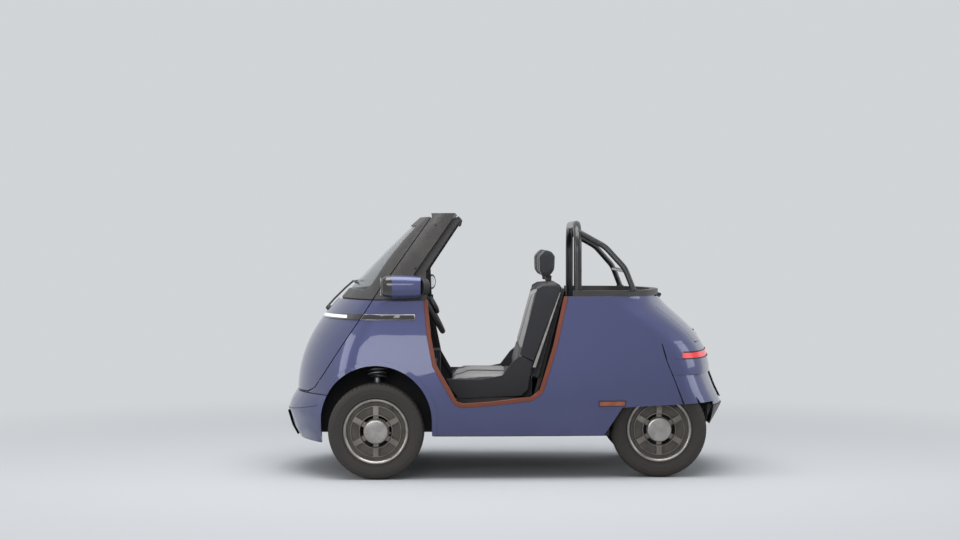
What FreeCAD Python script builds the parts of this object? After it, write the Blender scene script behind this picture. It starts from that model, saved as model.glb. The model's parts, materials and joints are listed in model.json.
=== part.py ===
import FreeCAD, Part
import math
import os

V = FreeCAD.Vector
Y_AXIS = V(0, 1, 0)
Z_AXIS = V(0, 0, 1)

# Driving sizes in millimetres. +X is forward, +Y the car's left, +Z up, and the ground is Z = 0.
FIT = 0.3                  # seat clearance between mating pieces
SHUT_GAP = 6.0             # open joint round the front door and the tailgate
PANEL = 25.0               # body side thickness
DOOR_WALL = 34.0           # front door thickness
SHEET = 14.0               # floor, bulkhead and liner thickness
SIDE_RADIUS = 11000.0      # plan curve of the body sides
WIDEST_X = 450.0           # where the body is widest
REACH = 1600.0             # cutting tools run past the car by this much

FLOOR_Z = 236.0            # underside of the floor
SILL_Z = 241.0             # lower edge of the body sides
BELT_Z = 987.0             # front belt line
REAR_BELT_Z = 1009.0       # rear belt line, under its trim
BELT_TRIM_HEIGHT = 33.0
DECK_Z = 566.0             # underside of the load deck
TUB_HALF = 400.0            # footwell
TUB_X = (386.0, 1040.0)
LINER_Z = 641.0             # underside of the wheel-house tops
AXLE_WALL_X = -575.0        # wall in front of the rear wheels
BULKHEAD_X = -330.0         # wall behind the seat
LOAD_FLOOR = (6.0, 430.0)  # rise and half width of the flat load floor on the deck

FRONT_AXLE_X = 718.0
REAR_AXLE_X = -857.0
FRONT_TRACK = 1280.0
REAR_TRACK = 1030.0
TYRE_RADIUS = 266.5
TYRE_WIDTH = 145.0
TYRE_FACETS = 60           # flat facets round each tyre
RIM_RADIUS = 180.0
BARREL_RADIUS = 158.0
HUB_RADIUS = 26.0
ARCH_RADIUS = 310.0
ARCH_Z = 320.0
ARCH_LIP = 26.0
ARCH_LIP_STEP = 6.0
BUMPER_TOP = 458.0         # seam between the front bumper and the fenders
BUMPER_LOW = 190.0
BUMPER_REAR = 918.0        # where the bumper's ends meet the wheel openings
TAB_X = (935.0, 1040.0)    # the tab behind each fender that carries the bumper
TAIL_SEAM_Z = 400.0        # seam between the painted tail and the black rear bumper
BODY_SEAM = 4.0            # seams between fixed body panels

HINGE_X = 830.0
HINGE_Y = 640.0
HINGE_Z = 672.0
HINGE_HEIGHT = 34.0
HINGE_PIN_RADIUS = 9.0
ARM_START = -112.0         # the hinge arm's angles about the pin, degrees
ARM_END = -28.0
ARM_MIDDLE = 171.0
ARM_WIDTH = 26.0

HOOP_X = -404.0
HOOP_TUBE = 22.5
HOOP_HALF = 525.0
HOOP_TOP = 1411.0
HOOP_BEND = 150.0
HOOP_FOOT = 6.0

SEAT_HALF = 520.0
POD_RADIUS = 54.0
POD_STRAIGHT = 20.0
POD_Y = 680.0
POD_Z = 1065.0
POD_REAR = 470.0
MIRROR_TURN = 30.0         # each mirror faces this much inwards, degrees
MIRROR_RADIUS = 46.0
MIRROR_REACH = 38.0
WHEEL_X = 430.0            # steering wheel centre
WHEEL_Y = 270.0
WHEEL_Z = 940.0
WHEEL_RADIUS = 172.0
WHEEL_TILT = 28.0          # column angle below level, degrees

HEADER_TOP = 1475.0
HEADER_DEPTH = 35.0
PILLAR_WALL = 40.0
PILLAR_TRIM = 14.0         # thickness of the inner trim behind each pillar
DOOR_TOP = 1454.0
BELT_GROOVE = (7.0, 8.0)   # height and depth of the shadow line under the screen frame
GLASS_LOW = (500.0, 1042.0)        # half width and height of the windscreen's lower edge
GLASS_HIGH = (425.0, 1404.0)       # and of its upper edge
GLASS_INSET = 8.0
GLASS_THICKNESS = 6.0
SCREEN_CORNER = 45.0       # corner radius of the windscreen's opening
SEAL_WIDTH = 22.0
SEAL_STEP = 5.0
STRIP_Z = (881.0, 912.0)
STRIP_STEP = 5.0
TAILGATE_HALF = 430.0
TAILGATE_HINGE = (-905.0, 1006.0)      # hinge axis, as (X, Z)
TAILGATE_BARREL = (40.0, 100.0, 6.0)   # inner and outer end and radius of each hinge barrel
TAILGATE_PIN = 3.0
BRACE_TUBE = 16.0
BRACE_TOP_Y = 490.0
BRACE_FOOT_Y = 546.0
CUSHION_Z = 440.0
SEAT_REAR = -150.0
BACK_LOW = (-186.0, 549.0)
BACK_HIGH = (-317.0, 1050.0)
KING_LOW = (600.0, 200.0)      # steering axis, as (Y, Z), at the lower ball joint
KING_HIGH = (485.0, 700.0)     # and at the top mount
STRUT_LEG = 19.0               # damper tube radius
DRIVE_HALF = 180.0             # half length of the drive unit, between the half shafts
STRUT_SPLIT = 366.0            # damper tube's length up the steering axis, to the spring seat
SPOKES = 6
SPOKE_WIDTH = 30.0
SPOKE_START = 90.0         # direction of the first spoke, degrees
CAP_RADIUS = 67.0
SLOT_RING = (70.0, 86.0)       # open arc slots round the cap
POCKET_RING = (94.0, 138.0)    # blind pockets between the spokes
POCKET_DEPTH = 11.0

# Plan sections of the painted body, lowest first.
# columns: height, front X, rear X, half width, front arc, rear arc, front corner, rear corner
BODY = [
    (180.0, 1178.0, -1130.0, 672.0, 950.0, 1500.0, 170.0, 240.0),
    (300.0, 1196.0, -1165.0, 708.0, 950.0, 1500.0, 190.0, 240.0),
    (430.0, 1206.0, -1185.0, 722.0, 950.0, 1500.0, 200.0, 240.0),
    (600.0, 1190.0, -1190.0, 716.0, 950.0, 1500.0, 200.0, 240.0),
    (800.0, 1113.0, -1100.0, 684.0, 950.0, 1300.0, 200.0, 250.0),
    (1020.0, 937.0, -893.0, 632.0, 950.0, 1100.0, 200.0, 280.0),
]
# Plan sections of the windscreen and its surround, same columns.
SCREEN = [
    (980.0, 962.0, 40.0, 639.0, 950.0, 1100.0, 190.0, 120.0),
    (1220.0, 742.0, 0.0, 578.0, 1300.0, 1100.0, 150.0, 120.0),
    (1500.0, 440.0, -60.0, 505.0, 1900.0, 1100.0, 100.0, 120.0),
]
# Plan sections of the front bumper and of the tail, with sharp edges at each height, same columns.
BUMPER = [
    (190.0, 1192.0, -1130.0, 676.0, 950.0, 1500.0, 170.0, 240.0),
    (252.0, 1228.0, -1150.0, 700.0, 950.0, 1500.0, 190.0, 240.0),
    (356.0, 1260.0, -1175.0, 716.0, 950.0, 1500.0, 200.0, 240.0),
    (409.0, 1240.0, -1183.0, 723.0, 950.0, 1500.0, 200.0, 240.0),
    (470.0, 1204.0, -1187.0, 722.0, 950.0, 1500.0, 200.0, 240.0),
]
TAIL = [
    (276.0, 1194.0, -1199.0, 702.0, 950.0, 1500.0, 190.0, 240.0),
    (350.0, 1200.0, -1240.0, 715.0, 950.0, 1500.0, 190.0, 240.0),
    (390.0, 1203.0, -1260.0, 721.0, 950.0, 1500.0, 190.0, 240.0),
    (491.0, 1203.0, -1211.0, 722.0, 950.0, 1500.0, 190.0, 240.0),
    (573.0, 1193.0, -1180.0, 718.0, 950.0, 1500.0, 190.0, 240.0),
]

# Side view outlines as (X, Z).
SHUT_LINE = [(419, 1454), (642, 1134), (706, 1049), (786, 922), (903, 752), (1010, 591), (1076, 495)]
OPENING = [(462, 1100), (452, 940), (436, 785), (405, 627), (322, 481), (285, 415), (240, 399),
           (94, 409), (-147, 437), (-204, 480), (-236, 576), (-286, 741), (-369, 1100)]
REAR_ARCH = [(-547, 150), (-547, 244), (-646, 396), (-1165, 419), (-1165, 150)]
CORNER_SEAM = [(-866, 745), (-890, 655), (-985, 420), (-985, 100)]
PILLAR_REAR = [(463, 980), (512, 1134), (300, 1440)]
PILLAR_LINING = [(478, 980), (524, 1130), (310, 1438), (254, 1438), (446, 1150), (440, 980)]
LATCH = [(300, 1442), (262, 1458), (250, 1440), (258, 1408), (272, 1402), (270, 1436), (300, 1428)]
HEADREST = [(-205, 1117), (-187, 1150), (-185, 1235), (-222, 1270),
            (-262, 1262), (-281, 1235), (-277, 1150), (-250, 1117)]


def corner_centre(end, end_reach, side, side_reach, sign):
    """Centre of the corner arc: both distances hold, at the front or the rear end."""
    gap = side - end
    span = gap.Length
    along = gap / span
    across = V(-along.y, along.x, 0)
    foot = (end_reach ** 2 - side_reach ** 2 + span ** 2) / (2 * span)
    height = math.sqrt(end_reach ** 2 - foot ** 2)
    options = [end + along * foot + across * side_sign * height for side_sign in (1, -1)]
    return max(options, key=lambda point: point.x * sign)


def plan_wire(row, inset):
    """Closed plan outline of eight tangent arcs, moved inwards by inset."""
    z, x_front, x_rear, half, front_arc, rear_arc, front_corner, rear_corner = row
    side = V(WIDEST_X, half - SIDE_RADIUS, 0)
    corners = []
    ends = ((1, x_front, front_arc, front_corner), (-1, x_rear, rear_arc, rear_corner))
    for sign, x_end, arc, corner in ends:
        end = V(x_end - sign * arc, 0, 0)
        centre = corner_centre(end, arc - corner, side, SIDE_RADIUS - corner, sign)
        to_end = (centre - end).normalize()
        to_side = (centre - side).normalize()
        ways = (to_end, (to_end + to_side).normalize(), to_side)
        corners.append([centre + way * (corner - inset) + V(0, 0, z) for way in ways])
    (end_f, mid_f, side_f), (end_r, mid_r, side_r) = corners
    centre = side + V(0, 0, z)
    side_mid = centre + (side_f + side_r - centre * 2).normalize() * (SIDE_RADIUS - inset)

    def flip(point):
        return V(point.x, -point.y, point.z)

    arcs = [
        (flip(end_f), V(x_front - inset, 0, z), end_f),
        (end_f, mid_f, side_f),
        (side_f, side_mid, side_r),
        (side_r, mid_r, end_r),
        (end_r, V(x_rear + inset, 0, z), flip(end_r)),
        (flip(end_r), flip(mid_r), flip(side_r)),
        (flip(side_r), flip(side_mid), flip(side_f)),
        (flip(side_f), flip(mid_f), flip(end_f)),
    ]
    return Part.Wire([Part.Arc(*points).toShape() for points in arcs])


def hull(rows, inset=0.0, ruled=False):
    return Part.makeLoft([plan_wire(row, inset) for row in rows], True, ruled)


def side_prism(points, y_low=-REACH, y_high=REACH):
    """Solid with an (X, Z) outline, between two Y values."""
    face = Part.Face(Part.makePolygon([V(x, y_low, z) for x, z in points + points[:1]]))
    return face.extrude(V(0, y_high - y_low, 0))


def top_prism(points, z_low, z_high):
    """Solid with an (X, Y) outline, between two heights."""
    face = Part.Face(Part.makePolygon([V(x, y, z_low) for x, y in points + points[:1]]))
    return face.extrude(V(0, 0, z_high - z_low))


def front_prism(points, x_low, x_high):
    """Solid with a (Y, Z) outline, between two X values."""
    face = Part.Face(Part.makePolygon([V(x_low, y, z) for y, z in points + points[:1]]))
    return face.extrude(V(x_high - x_low, 0, 0))


def block(x, y, z):
    """Box from three (low, high) pairs."""
    return Part.makeBox(x[1] - x[0], y[1] - y[0], z[1] - z[0], V(x[0], y[0], z[0]))


def rod(start, end, radius):
    return Part.makeCylinder(radius, (end - start).Length, start, end - start)


def mirror(shape):
    return shape.mirror(V(0, 0, 0), Y_AXIS)


def pair(shape):
    return Part.makeCompound([shape, mirror(shape)])


def fuse(shapes):
    return shapes[0].multiFuse(shapes[1:]).removeSplitter()


def bent_path(points, bend):
    """Wire of straight runs joined by tangent arcs of one radius."""
    edges = []
    start = points[0]
    for before, corner, after in zip(points, points[1:], points[2:]):
        back = (before - corner).normalize()
        ahead = (after - corner).normalize()
        half_angle = back.getAngle(ahead) / 2
        reach = bend / math.tan(half_angle)
        middle = corner + (back + ahead).normalize() * (bend / math.sin(half_angle) - bend)
        edges.append(Part.LineSegment(start, corner + back * reach).toShape())
        edges.append(Part.Arc(corner + back * reach, middle, corner + ahead * reach).toShape())
        start = corner + ahead * reach
    edges.append(Part.LineSegment(start, points[-1]).toShape())
    return Part.Wire(edges)


def bent_tube(points, bend, radius):
    path = bent_path(points, bend)
    section = Part.Wire(Part.Circle(points[0], points[1] - points[0], radius).toShape())
    return path.makePipeShell([section], True, False)


def shifted(points, dx):
    return [(x + dx, z) for x, z in points]


def spun(profile, y_centre, x_centre, outward):
    """Solid turned about a wheel's axle; the profile is (Y from the wheel's middle, radius)."""
    points = [V(x_centre, y_centre + outward * y, TYRE_RADIUS + r) for y, r in profile + profile[:1]]
    face = Part.Face(Part.makePolygon(points))
    return face.revolve(V(x_centre, y_centre, TYRE_RADIUS), Y_AXIS, 360)


# Shared solids of the body.
body_outer = hull(BODY)
body_inner = hull(BODY, PANEL)
cabin_space = hull(BODY, PANEL + FIT)
body_shell = body_outer.cut(body_inner)
screen_outer = hull(SCREEN)
door_line = SHUT_LINE + [(1123, 470), (1500, 470), (1500, 1700), (300, 1700)]
door_zone = side_prism(door_line)
body_zone_cut = side_prism(shifted(SHUT_LINE, -SHUT_GAP)
                           + [(1123 - SHUT_GAP, 464), (1500, 464), (1500, 1700), (300, 1700)])


def arch_space(radius):
    """Front wheel opening: a half circle with straight sides below it."""
    half_round = Part.makeCylinder(radius, 2 * REACH, V(FRONT_AXLE_X, -REACH, ARCH_Z), Y_AXIS)
    legs = block((FRONT_AXLE_X - radius, FRONT_AXLE_X + radius), (-REACH, REACH), (0, ARCH_Z))
    return fuse([half_round, legs])


def arch_lip(rows, x_range, z_range, ruled):
    """Raised edge round the left front wheel opening, between two stations and two heights."""
    ring = arch_space(ARCH_RADIUS + ARCH_LIP).cut(arch_space(ARCH_RADIUS))
    swell = hull(rows, -ARCH_LIP_STEP, ruled).cut(hull(rows, PANEL / 2, ruled))
    return largest(swell.common(ring).common(block(x_range, (500, REACH), z_range)))


def make_side_panel():
    """Left side: fender, sill and rear quarter in one pressing."""
    band = block((-REACH, REACH), (20, REACH), (SILL_Z, REAR_BELT_Z))
    side = body_shell.common(band)
    front_top = block((300, REACH), (0, REACH), (BELT_Z, 1200))
    side = side.cut(front_top)
    side = side.cut(body_zone_cut)
    side = side.cut(block((BUMPER_REAR, REACH), (0, REACH), (0, BUMPER_TOP + BODY_SEAM)))
    side = side.cut(side_prism(OPENING))
    side = side.cut(arch_space(ARCH_RADIUS))
    side = side.cut(side_prism(REAR_ARCH))
    side = side.cut(side_prism(CORNER_SEAM + [(-1600, 100), (-1600, 560), (-1250, 560), (-1250, 745)]))
    side = side.cut(block((-REACH, -850), (0, TAILGATE_HALF + SHUT_GAP), (560, 1200)))
    lip = arch_lip(BODY, (0, FRONT_AXLE_X + ARCH_RADIUS), (SILL_Z, 900), False)
    lip = lip.cut(block((BUMPER_REAR, REACH), (0, REACH), (0, BUMPER_TOP + BODY_SEAM)))
    return fuse([largest(side), largest(lip.cut(body_zone_cut))])


def largest(shape):
    return max(shape.Solids, key=lambda solid: solid.Volume)


def make_front_door():
    """Painted nose panel up to the belt, with its hinge arm."""
    nose = body_outer.cut(hull(BODY, DOOR_WALL)).common(block((0, REACH), (-REACH, REACH), (470, BELT_Z)))
    return fuse([largest(nose.common(door_zone)), hinge_arm()])


def belt_groove():
    """Room of the shadow line between the belt and the frames that stand on it."""
    height, depth = BELT_GROOVE
    ring = hull(SCREEN, -30.0).cut(hull(SCREEN, depth))
    return ring.common(block((-REACH, REACH), (-REACH, REACH), (BELT_Z - 5, BELT_Z + height)))


def make_screen_frame():
    """Windscreen frame that stands on the nose panel."""
    frame = screen_outer.cut(hull(SCREEN, DOOR_WALL))
    frame = frame.common(block((0, REACH), (-REACH, REACH), (BELT_Z + FIT, DOOR_TOP)))
    frame = frame.cut(screen_aperture()).cut(belt_groove())
    return largest(frame.common(door_zone))


def screen_aperture():
    """Opening of the windscreen frame, with round corners."""
    low = (GLASS_LOW[0] - SCREEN_CORNER, GLASS_LOW[1] + SCREEN_CORNER)
    high = (GLASS_HIGH[0] - SCREEN_CORNER, GLASS_HIGH[1] - SCREEN_CORNER)
    inside = 200.0
    corners = [V(inside, -low[0], low[1]), V(inside, low[0], low[1]),
               V(inside, high[0], high[1]), V(inside, -high[0], high[1])]
    outline = Part.makePolygon(corners + corners[:1]).makeOffset2D(SCREEN_CORNER, 0)
    return Part.Face(outline).extrude(V(REACH, 0, 0))


def make_windscreen():
    glass = hull(SCREEN, GLASS_INSET).cut(hull(SCREEN, GLASS_INSET + GLASS_THICKNESS))
    return largest(glass.common(screen_aperture()).common(door_zone))


def polar(radius, degrees):
    """Point about the door's hinge, as (X, Y)."""
    angle = math.radians(degrees)
    return (HINGE_X + radius * math.cos(angle), HINGE_Y + radius * math.sin(angle))


def hinge_arm():
    """Swan-neck arm that carries the door round the fender's front edge."""
    pin = V(HINGE_X, HINGE_Y, HINGE_Z)
    eye = Part.makeCylinder(HINGE_PIN_RADIUS + 9, HINGE_HEIGHT, pin, Z_AXIS)
    root = top_prism([polar(12, ARM_START + 90), polar(12, ARM_START - 90), polar(ARM_MIDDLE, ARM_START - 5),
                      polar(ARM_MIDDLE, ARM_START + 5)], HINGE_Z, HINGE_Z + HINGE_HEIGHT)
    ring = Part.makeCylinder(ARM_MIDDLE + ARM_WIDTH / 2, HINGE_HEIGHT, pin, Z_AXIS)
    ring = ring.cut(Part.makeCylinder(ARM_MIDDLE - ARM_WIDTH / 2, HINGE_HEIGHT, pin, Z_AXIS))
    way_points = [polar(400, ARM_START - 5 + step * (ARM_END - ARM_START + 5) / 4) for step in range(5)]
    sector = top_prism([(HINGE_X, HINGE_Y)] + way_points, HINGE_Z, HINGE_Z + HINGE_HEIGHT)
    arm = fuse([eye, root, ring.common(sector)])
    arm = largest(arm.common(hull(BODY, DOOR_WALL / 2)))
    bore = Part.makeCylinder(HINGE_PIN_RADIUS + FIT, 3 * HINGE_HEIGHT, pin - V(0, 0, HINGE_HEIGHT), Z_AXIS)
    return arm.cut(bore)


def make_hinge_post():
    """Pin and two cheeks on the left fender's inner side."""
    pin = Part.makeCylinder(HINGE_PIN_RADIUS, HINGE_HEIGHT + 24, V(HINGE_X, HINGE_Y, HINGE_Z - 12), Z_AXIS)
    pieces = [pin]
    for low in (HINGE_Z - 14, HINGE_Z + HINGE_HEIGHT + 2):
        cheek = block((HINGE_X - 30, HINGE_X + 12), (HINGE_Y - 12, 760), (low, low + 12))
        pieces.append(cheek.common(cabin_space))
    return fuse(pieces)


def make_surround():
    """Fixed frame behind the windscreen: lined pillars, and the header with two roof latches."""
    everywhere = (-REACH, REACH)
    blank = screen_outer.common(block((0, REACH), everywhere, (BELT_Z + FIT, HEADER_TOP)))
    hollow = hull(SCREEN, PILLAR_WALL).common(block(everywhere, everywhere, (900, HEADER_TOP - HEADER_DEPTH)))
    fixed = shifted(SHUT_LINE[:4], -SHUT_GAP)
    outline = [(418, HEADER_TOP)] + fixed + [(744, BELT_Z - 20)] + PILLAR_REAR + [(283, HEADER_TOP)]
    frame = largest(blank.cut(hollow).common(side_prism(outline)).cut(belt_groove()))
    lining = hull(SCREEN, PILLAR_WALL - 2).cut(hull(SCREEN, PILLAR_WALL + PILLAR_TRIM))
    lining = lining.common(block((0, REACH), (0, REACH), (BELT_Z + FIT, HEADER_TOP - HEADER_DEPTH)))
    lining = largest(lining.common(side_prism(PILLAR_LINING)))
    latch = side_prism(LATCH, 395, 425)
    return fuse([frame, lining, mirror(lining), latch, mirror(latch)])


def make_floor():
    """Floor, footwell, wheel-house walls, bulkhead and load deck."""
    low = FLOOR_Z
    half = TUB_HALF
    wide = (-REACH, REACH)
    toe, front = TUB_X
    raised, raised_half = LOAD_FLOOR
    liner = (LINER_Z, LINER_Z + SHEET)
    pieces = [
        cabin_space.common(block((AXLE_WALL_X, toe + SHEET), wide, (low, low + SHEET))),
        block((toe + 4, front), (-half, half), (low, low + SHEET)),
        cabin_space.common(block((toe, toe + SHEET), wide, (low, LINER_Z - 1))),
        block((front - SHEET, front), (-half, half), (low, BUMPER_TOP + BODY_SEAM)),
        cabin_space.common(block((AXLE_WALL_X, AXLE_WALL_X + SHEET), wide, (low, DECK_Z + SHEET))),
        cabin_space.common(block((-1125, BULKHEAD_X), wide, (DECK_Z, DECK_Z + SHEET))),
        block((-1040, -470), (-raised_half, raised_half), (DECK_Z + SHEET / 2, DECK_Z + SHEET + raised)),
        cabin_space.common(block((BULKHEAD_X - SHEET, BULKHEAD_X), (-SEAT_HALF, SEAT_HALF), (low, DECK_Z))),
    ]
    for sign in (1, -1):
        ys = sorted((sign * half, sign * (half - SHEET)))
        pieces.append(block(TUB_X, ys, (low, LINER_Z + SHEET)))
        outer = sorted((sign * (half - SHEET), sign * 800))
        pieces.append(cabin_space.common(block((toe, 1012), outer, liner)))
    floor = fuse(pieces)
    floor = floor.cut(side_prism(shifted(SHUT_LINE, -SHUT_GAP - DOOR_WALL)
                                 + [(1080, 462), (1500, 462), (1500, 1700), (300, 1700)], -REACH, REACH))
    walls = block((toe, toe + SHEET), (-half + SHEET, half - SHEET), (low + SHEET, 700))
    seal_room = hull(BODY, 0).cut(hull(BODY, PANEL + SEAL_STEP + FIT)).common(side_prism(OPENING))
    tail_room = hull(TAIL, -20.0, True).cut(hull(TAIL, PANEL + FIT, True))
    tail_room = tail_room.common(block((-REACH, -860), wide, (0, REACH)))
    wheel_room = Part.makeCylinder(TYRE_RADIUS + 12, 2 * REACH, V(REAR_AXLE_X, -REACH, TYRE_RADIUS), Y_AXIS)
    return largest(floor.cut(walls).cut(seal_room).cut(tail_room).cut(wheel_room))


def make_bumper():
    """Front bumper, wrapped round both corners to the wheel openings."""
    skin = hull(BUMPER, 0, True).cut(hull(BUMPER, PANEL, True))
    zone = block((BUMPER_REAR, REACH), (-REACH, REACH), (BUMPER_LOW, BUMPER_TOP)).cut(arch_space(ARCH_RADIUS))
    lip = arch_lip(BUMPER, (BUMPER_REAR, REACH), (BUMPER_LOW, BUMPER_TOP), True)
    side = (500, REACH)
    inner = hull(BODY, PANEL + 5)
    tab = hull(BODY, PANEL + FIT).cut(inner).common(block(TAB_X, side, (BUMPER_TOP - 20, BUMPER_TOP + 22)))
    root = hull(BUMPER, 2, True).cut(inner).common(block(TAB_X, side, (BUMPER_TOP - 20, BUMPER_TOP - 2)))
    tab = largest(fuse([tab, root]).cut(arch_space(ARCH_RADIUS)))
    return fuse([largest(skin.common(zone)), lip, mirror(lip), tab, mirror(tab)])


def make_tail():
    """Lower rear body: a flared edge wrapped round both corners."""
    skin = hull(TAIL, 0, True).cut(hull(TAIL, PANEL, True))
    upper = body_shell.common(block((-REACH, 0), (-REACH, REACH), (573, 660)))
    zone = side_prism([(-872, 740), (-896, 653), (-991, 420), (-1000, TAIL_SEAM_Z),
                       (-1400, TAIL_SEAM_Z), (-1400, 740)])
    wheel_cut = side_prism(REAR_ARCH)
    tail = fuse([largest(skin.common(zone).cut(wheel_cut)), largest(upper.common(zone))])
    wheel_half = REAR_TRACK / 2 + TYRE_WIDTH / 2 + 6
    wheel_end = V(REAR_AXLE_X, -wheel_half, TYRE_RADIUS)
    return largest(tail.cut(Part.makeCylinder(TYRE_RADIUS + 8, 2 * wheel_half, wheel_end, Y_AXIS)))


def make_rear_bumper():
    """Black lower bumper under the painted tail."""
    skin = hull(TAIL, 0, True).cut(hull(TAIL, PANEL, True))
    band = skin.common(block((-REACH, 0), (-REACH, REACH), (TAIL[0][0], TAIL_SEAM_Z - BODY_SEAM)))
    behind = block((-REACH, -1100), (-REACH, REACH), (0, REACH))
    return largest(band.cut(side_prism(REAR_ARCH)).common(behind))


def make_tail_lamp():
    """Slim housing across the tail, wrapped round both corners."""
    band = body_shell.common(block((-REACH, 0), (-REACH, REACH), (660 + FIT, 700)))
    zone = side_prism([(-985, 600), (-985, 800), (-1400, 800), (-1400, 600)])
    return largest(band.common(zone))


def make_tail_top():
    """Upper rear corners either side of the tailgate, round and above the lamp."""
    band = body_shell.common(block((-REACH, 0), (-REACH, REACH), (660 + FIT, 745)))
    zone = side_prism([(-872, 745), (-900, 650), (-1400, 650), (-1400, 745)])
    lamp_room = block((-REACH, -985 + FIT), (-REACH, REACH), (600, 700 + FIT))
    return largest(band.common(zone).cut(lamp_room))


def hinge_rods(low, high, radius):
    """Rods on the tailgate's hinge axis, one each side."""
    x, z = TAILGATE_HINGE
    return pair(rod(V(x, low, z), V(x, high, z), radius))


def make_tailgate():
    panel = body_outer.cut(hull(BODY, PANEL)).common(
        block((-REACH, -850), (-TAILGATE_HALF, TAILGATE_HALF), (745 + SHUT_GAP, REAR_BELT_Z - SHUT_GAP)))
    low, high, radius = TAILGATE_BARREL
    x, z = TAILGATE_HINGE
    leaf = block((x, x + 18), (low, high), (z - 12, z - 1))
    panel = fuse([largest(panel), leaf, mirror(leaf)] + hinge_rods(low, high, radius).Solids)
    return panel.cut(hinge_rods(low - 10, high + 10, TAILGATE_PIN + FIT))


def make_belt_trim():
    """Black rim round the rear deck's open top, a U in plan, with the tailgate's hinge pins."""
    low = REAR_BELT_Z + FIT
    row = (low,) + BODY[-1][1:]
    wires = [plan_wire(row, inset) for inset in (-2.0, PANEL + 20.0)]
    ring = Part.Face(wires[0]).cut(Part.Face(wires[1])).extrude(V(0, 0, BELT_TRIM_HEIGHT - FIT))
    trim = largest(ring.common(block((-REACH, -374), (-REACH, REACH), (low - 10, low + 60))))
    x, z = TAILGATE_HINGE
    inner, outer, radius = TAILGATE_BARREL
    ears = []
    for near, far in ((inner - 6, inner - 2), (outer + 2, outer + 6)):
        ear = block((x - TAILGATE_PIN - 1, x + 20), (near, far), (z - 1.5, z + radius + 4))
        ears += [ear, mirror(ear)]
    return fuse([trim] + ears + hinge_rods(inner - 6, outer + 6, TAILGATE_PIN).Solids)


def make_door_seal():
    """Strip that lines the edge of the left side opening."""
    outline = Part.makePolygon([V(x, 0, z) for x, z in OPENING + OPENING[:1]])
    outer = outline.makeOffset2D(-FIT, 2)
    inner = outline.makeOffset2D(-FIT - SEAL_WIDTH, 2)
    ring = Part.Face(outer).cut(Part.Face(inner)).extrude(V(0, REACH, 0))
    skin = hull(BODY, -SEAL_STEP).cut(hull(BODY, PANEL + SEAL_STEP))
    seal = skin.common(ring)
    tops = fuse([block((0, REACH), (0, REACH), (BELT_Z, 1200)),
                 block((-REACH, 1), (0, REACH), (REAR_BELT_Z, 1200))])
    return largest(seal.cut(tops))


def make_side_strip():
    """Dark strip along the left fender, in line with the lamp strip."""
    skin = hull(BODY, -STRIP_STEP).cut(hull(BODY, -FIT))
    return largest(skin.common(block((503, 900), (0, REACH), STRIP_Z)).cut(body_zone_cut))


def make_light_strip():
    """Lamp strip round the nose, on the door."""
    skin = hull(BODY, -STRIP_STEP).cut(hull(BODY, -FIT))
    return largest(skin.common(block((500, REACH), (-REACH, REACH), STRIP_Z)).common(door_zone))


def make_side_marker():
    skin = hull(BODY, -4.0).cut(hull(BODY, -FIT))
    return largest(skin.common(block((-665, -513), (0, REACH), (402, 435))))


def make_valance():
    """Black lower closing panel between the rear corners."""
    space = hull(TAIL, PANEL + FIT, True)
    return largest(space.common(block((-1215, -1140), (-430, 430), (280, 400))))


def hoop_path(radius):
    foot = DECK_Z + SHEET + HOOP_FOOT
    points = [V(HOOP_X, HOOP_HALF, foot), V(HOOP_X, HOOP_HALF, HOOP_TOP),
              V(HOOP_X, -HOOP_HALF, HOOP_TOP), V(HOOP_X, -HOOP_HALF, foot)]
    return bent_tube(points, HOOP_BEND, radius)


def brace_tube(radius):
    points = [V(HOOP_X, BRACE_TOP_Y, 1372), V(-560, BRACE_TOP_Y + 10, 1285), V(-668, BRACE_FOOT_Y - 12, 1165),
              V(-716, BRACE_FOOT_Y, REAR_BELT_Z + BELT_TRIM_HEIGHT + FIT)]
    return bent_tube(points, 140.0, radius)


def make_hoop():
    tube = hoop_path(HOOP_TUBE)
    low = DECK_Z + SHEET + FIT
    feet = [Part.makeCylinder(44, HOOP_FOOT, V(HOOP_X, sign * HOOP_HALF, low), Z_AXIS) for sign in (1, -1)]
    return fuse([tube] + feet)


def make_brace():
    tube = brace_tube(BRACE_TUBE).cut(hoop_path(HOOP_TUBE + FIT))
    low = REAR_BELT_Z + BELT_TRIM_HEIGHT + FIT
    foot = Part.makeCylinder(23, 5, V(-716, BRACE_FOOT_Y, low), Z_AXIS)
    below = block((-800, -600), (0, 800), (low - 60, low))
    return largest(fuse([largest(tube), foot]).cut(below))


def make_cross_bar():
    bar = rod(V(-672, -600, 1150), V(-672, 600, 1150), 11)
    trim = brace_tube(BRACE_TUBE + FIT)
    inner = block((-900, -500), (-BRACE_FOOT_Y + 5, BRACE_FOOT_Y - 5), (1100, 1200))
    return largest(bar.common(inner).cut(Part.makeCompound([trim, mirror(trim)])))


def stadium(x, radius):
    """Upright outline of two half circles joined by straight sides."""
    rise = POD_STRAIGHT / 2
    low = POD_Z - rise
    high = POD_Z + rise
    left = POD_Y + radius
    right = POD_Y - radius
    edges = [
        Part.Arc(V(x, left, high), V(x, POD_Y, high + radius), V(x, right, high)).toShape(),
        Part.LineSegment(V(x, right, high), V(x, right, low)).toShape(),
        Part.Arc(V(x, right, low), V(x, POD_Y, low - radius), V(x, left, low)).toShape(),
        Part.LineSegment(V(x, left, low), V(x, left, high)).toShape(),
    ]
    return Part.Wire(edges)


def pod_body(stations):
    return Part.makeLoft([stadium(x, radius) for x, radius in stations], True, True)


def mirror_way():
    turn = math.radians(MIRROR_TURN)
    return V(-math.cos(turn), -math.sin(turn), 0)


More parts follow.
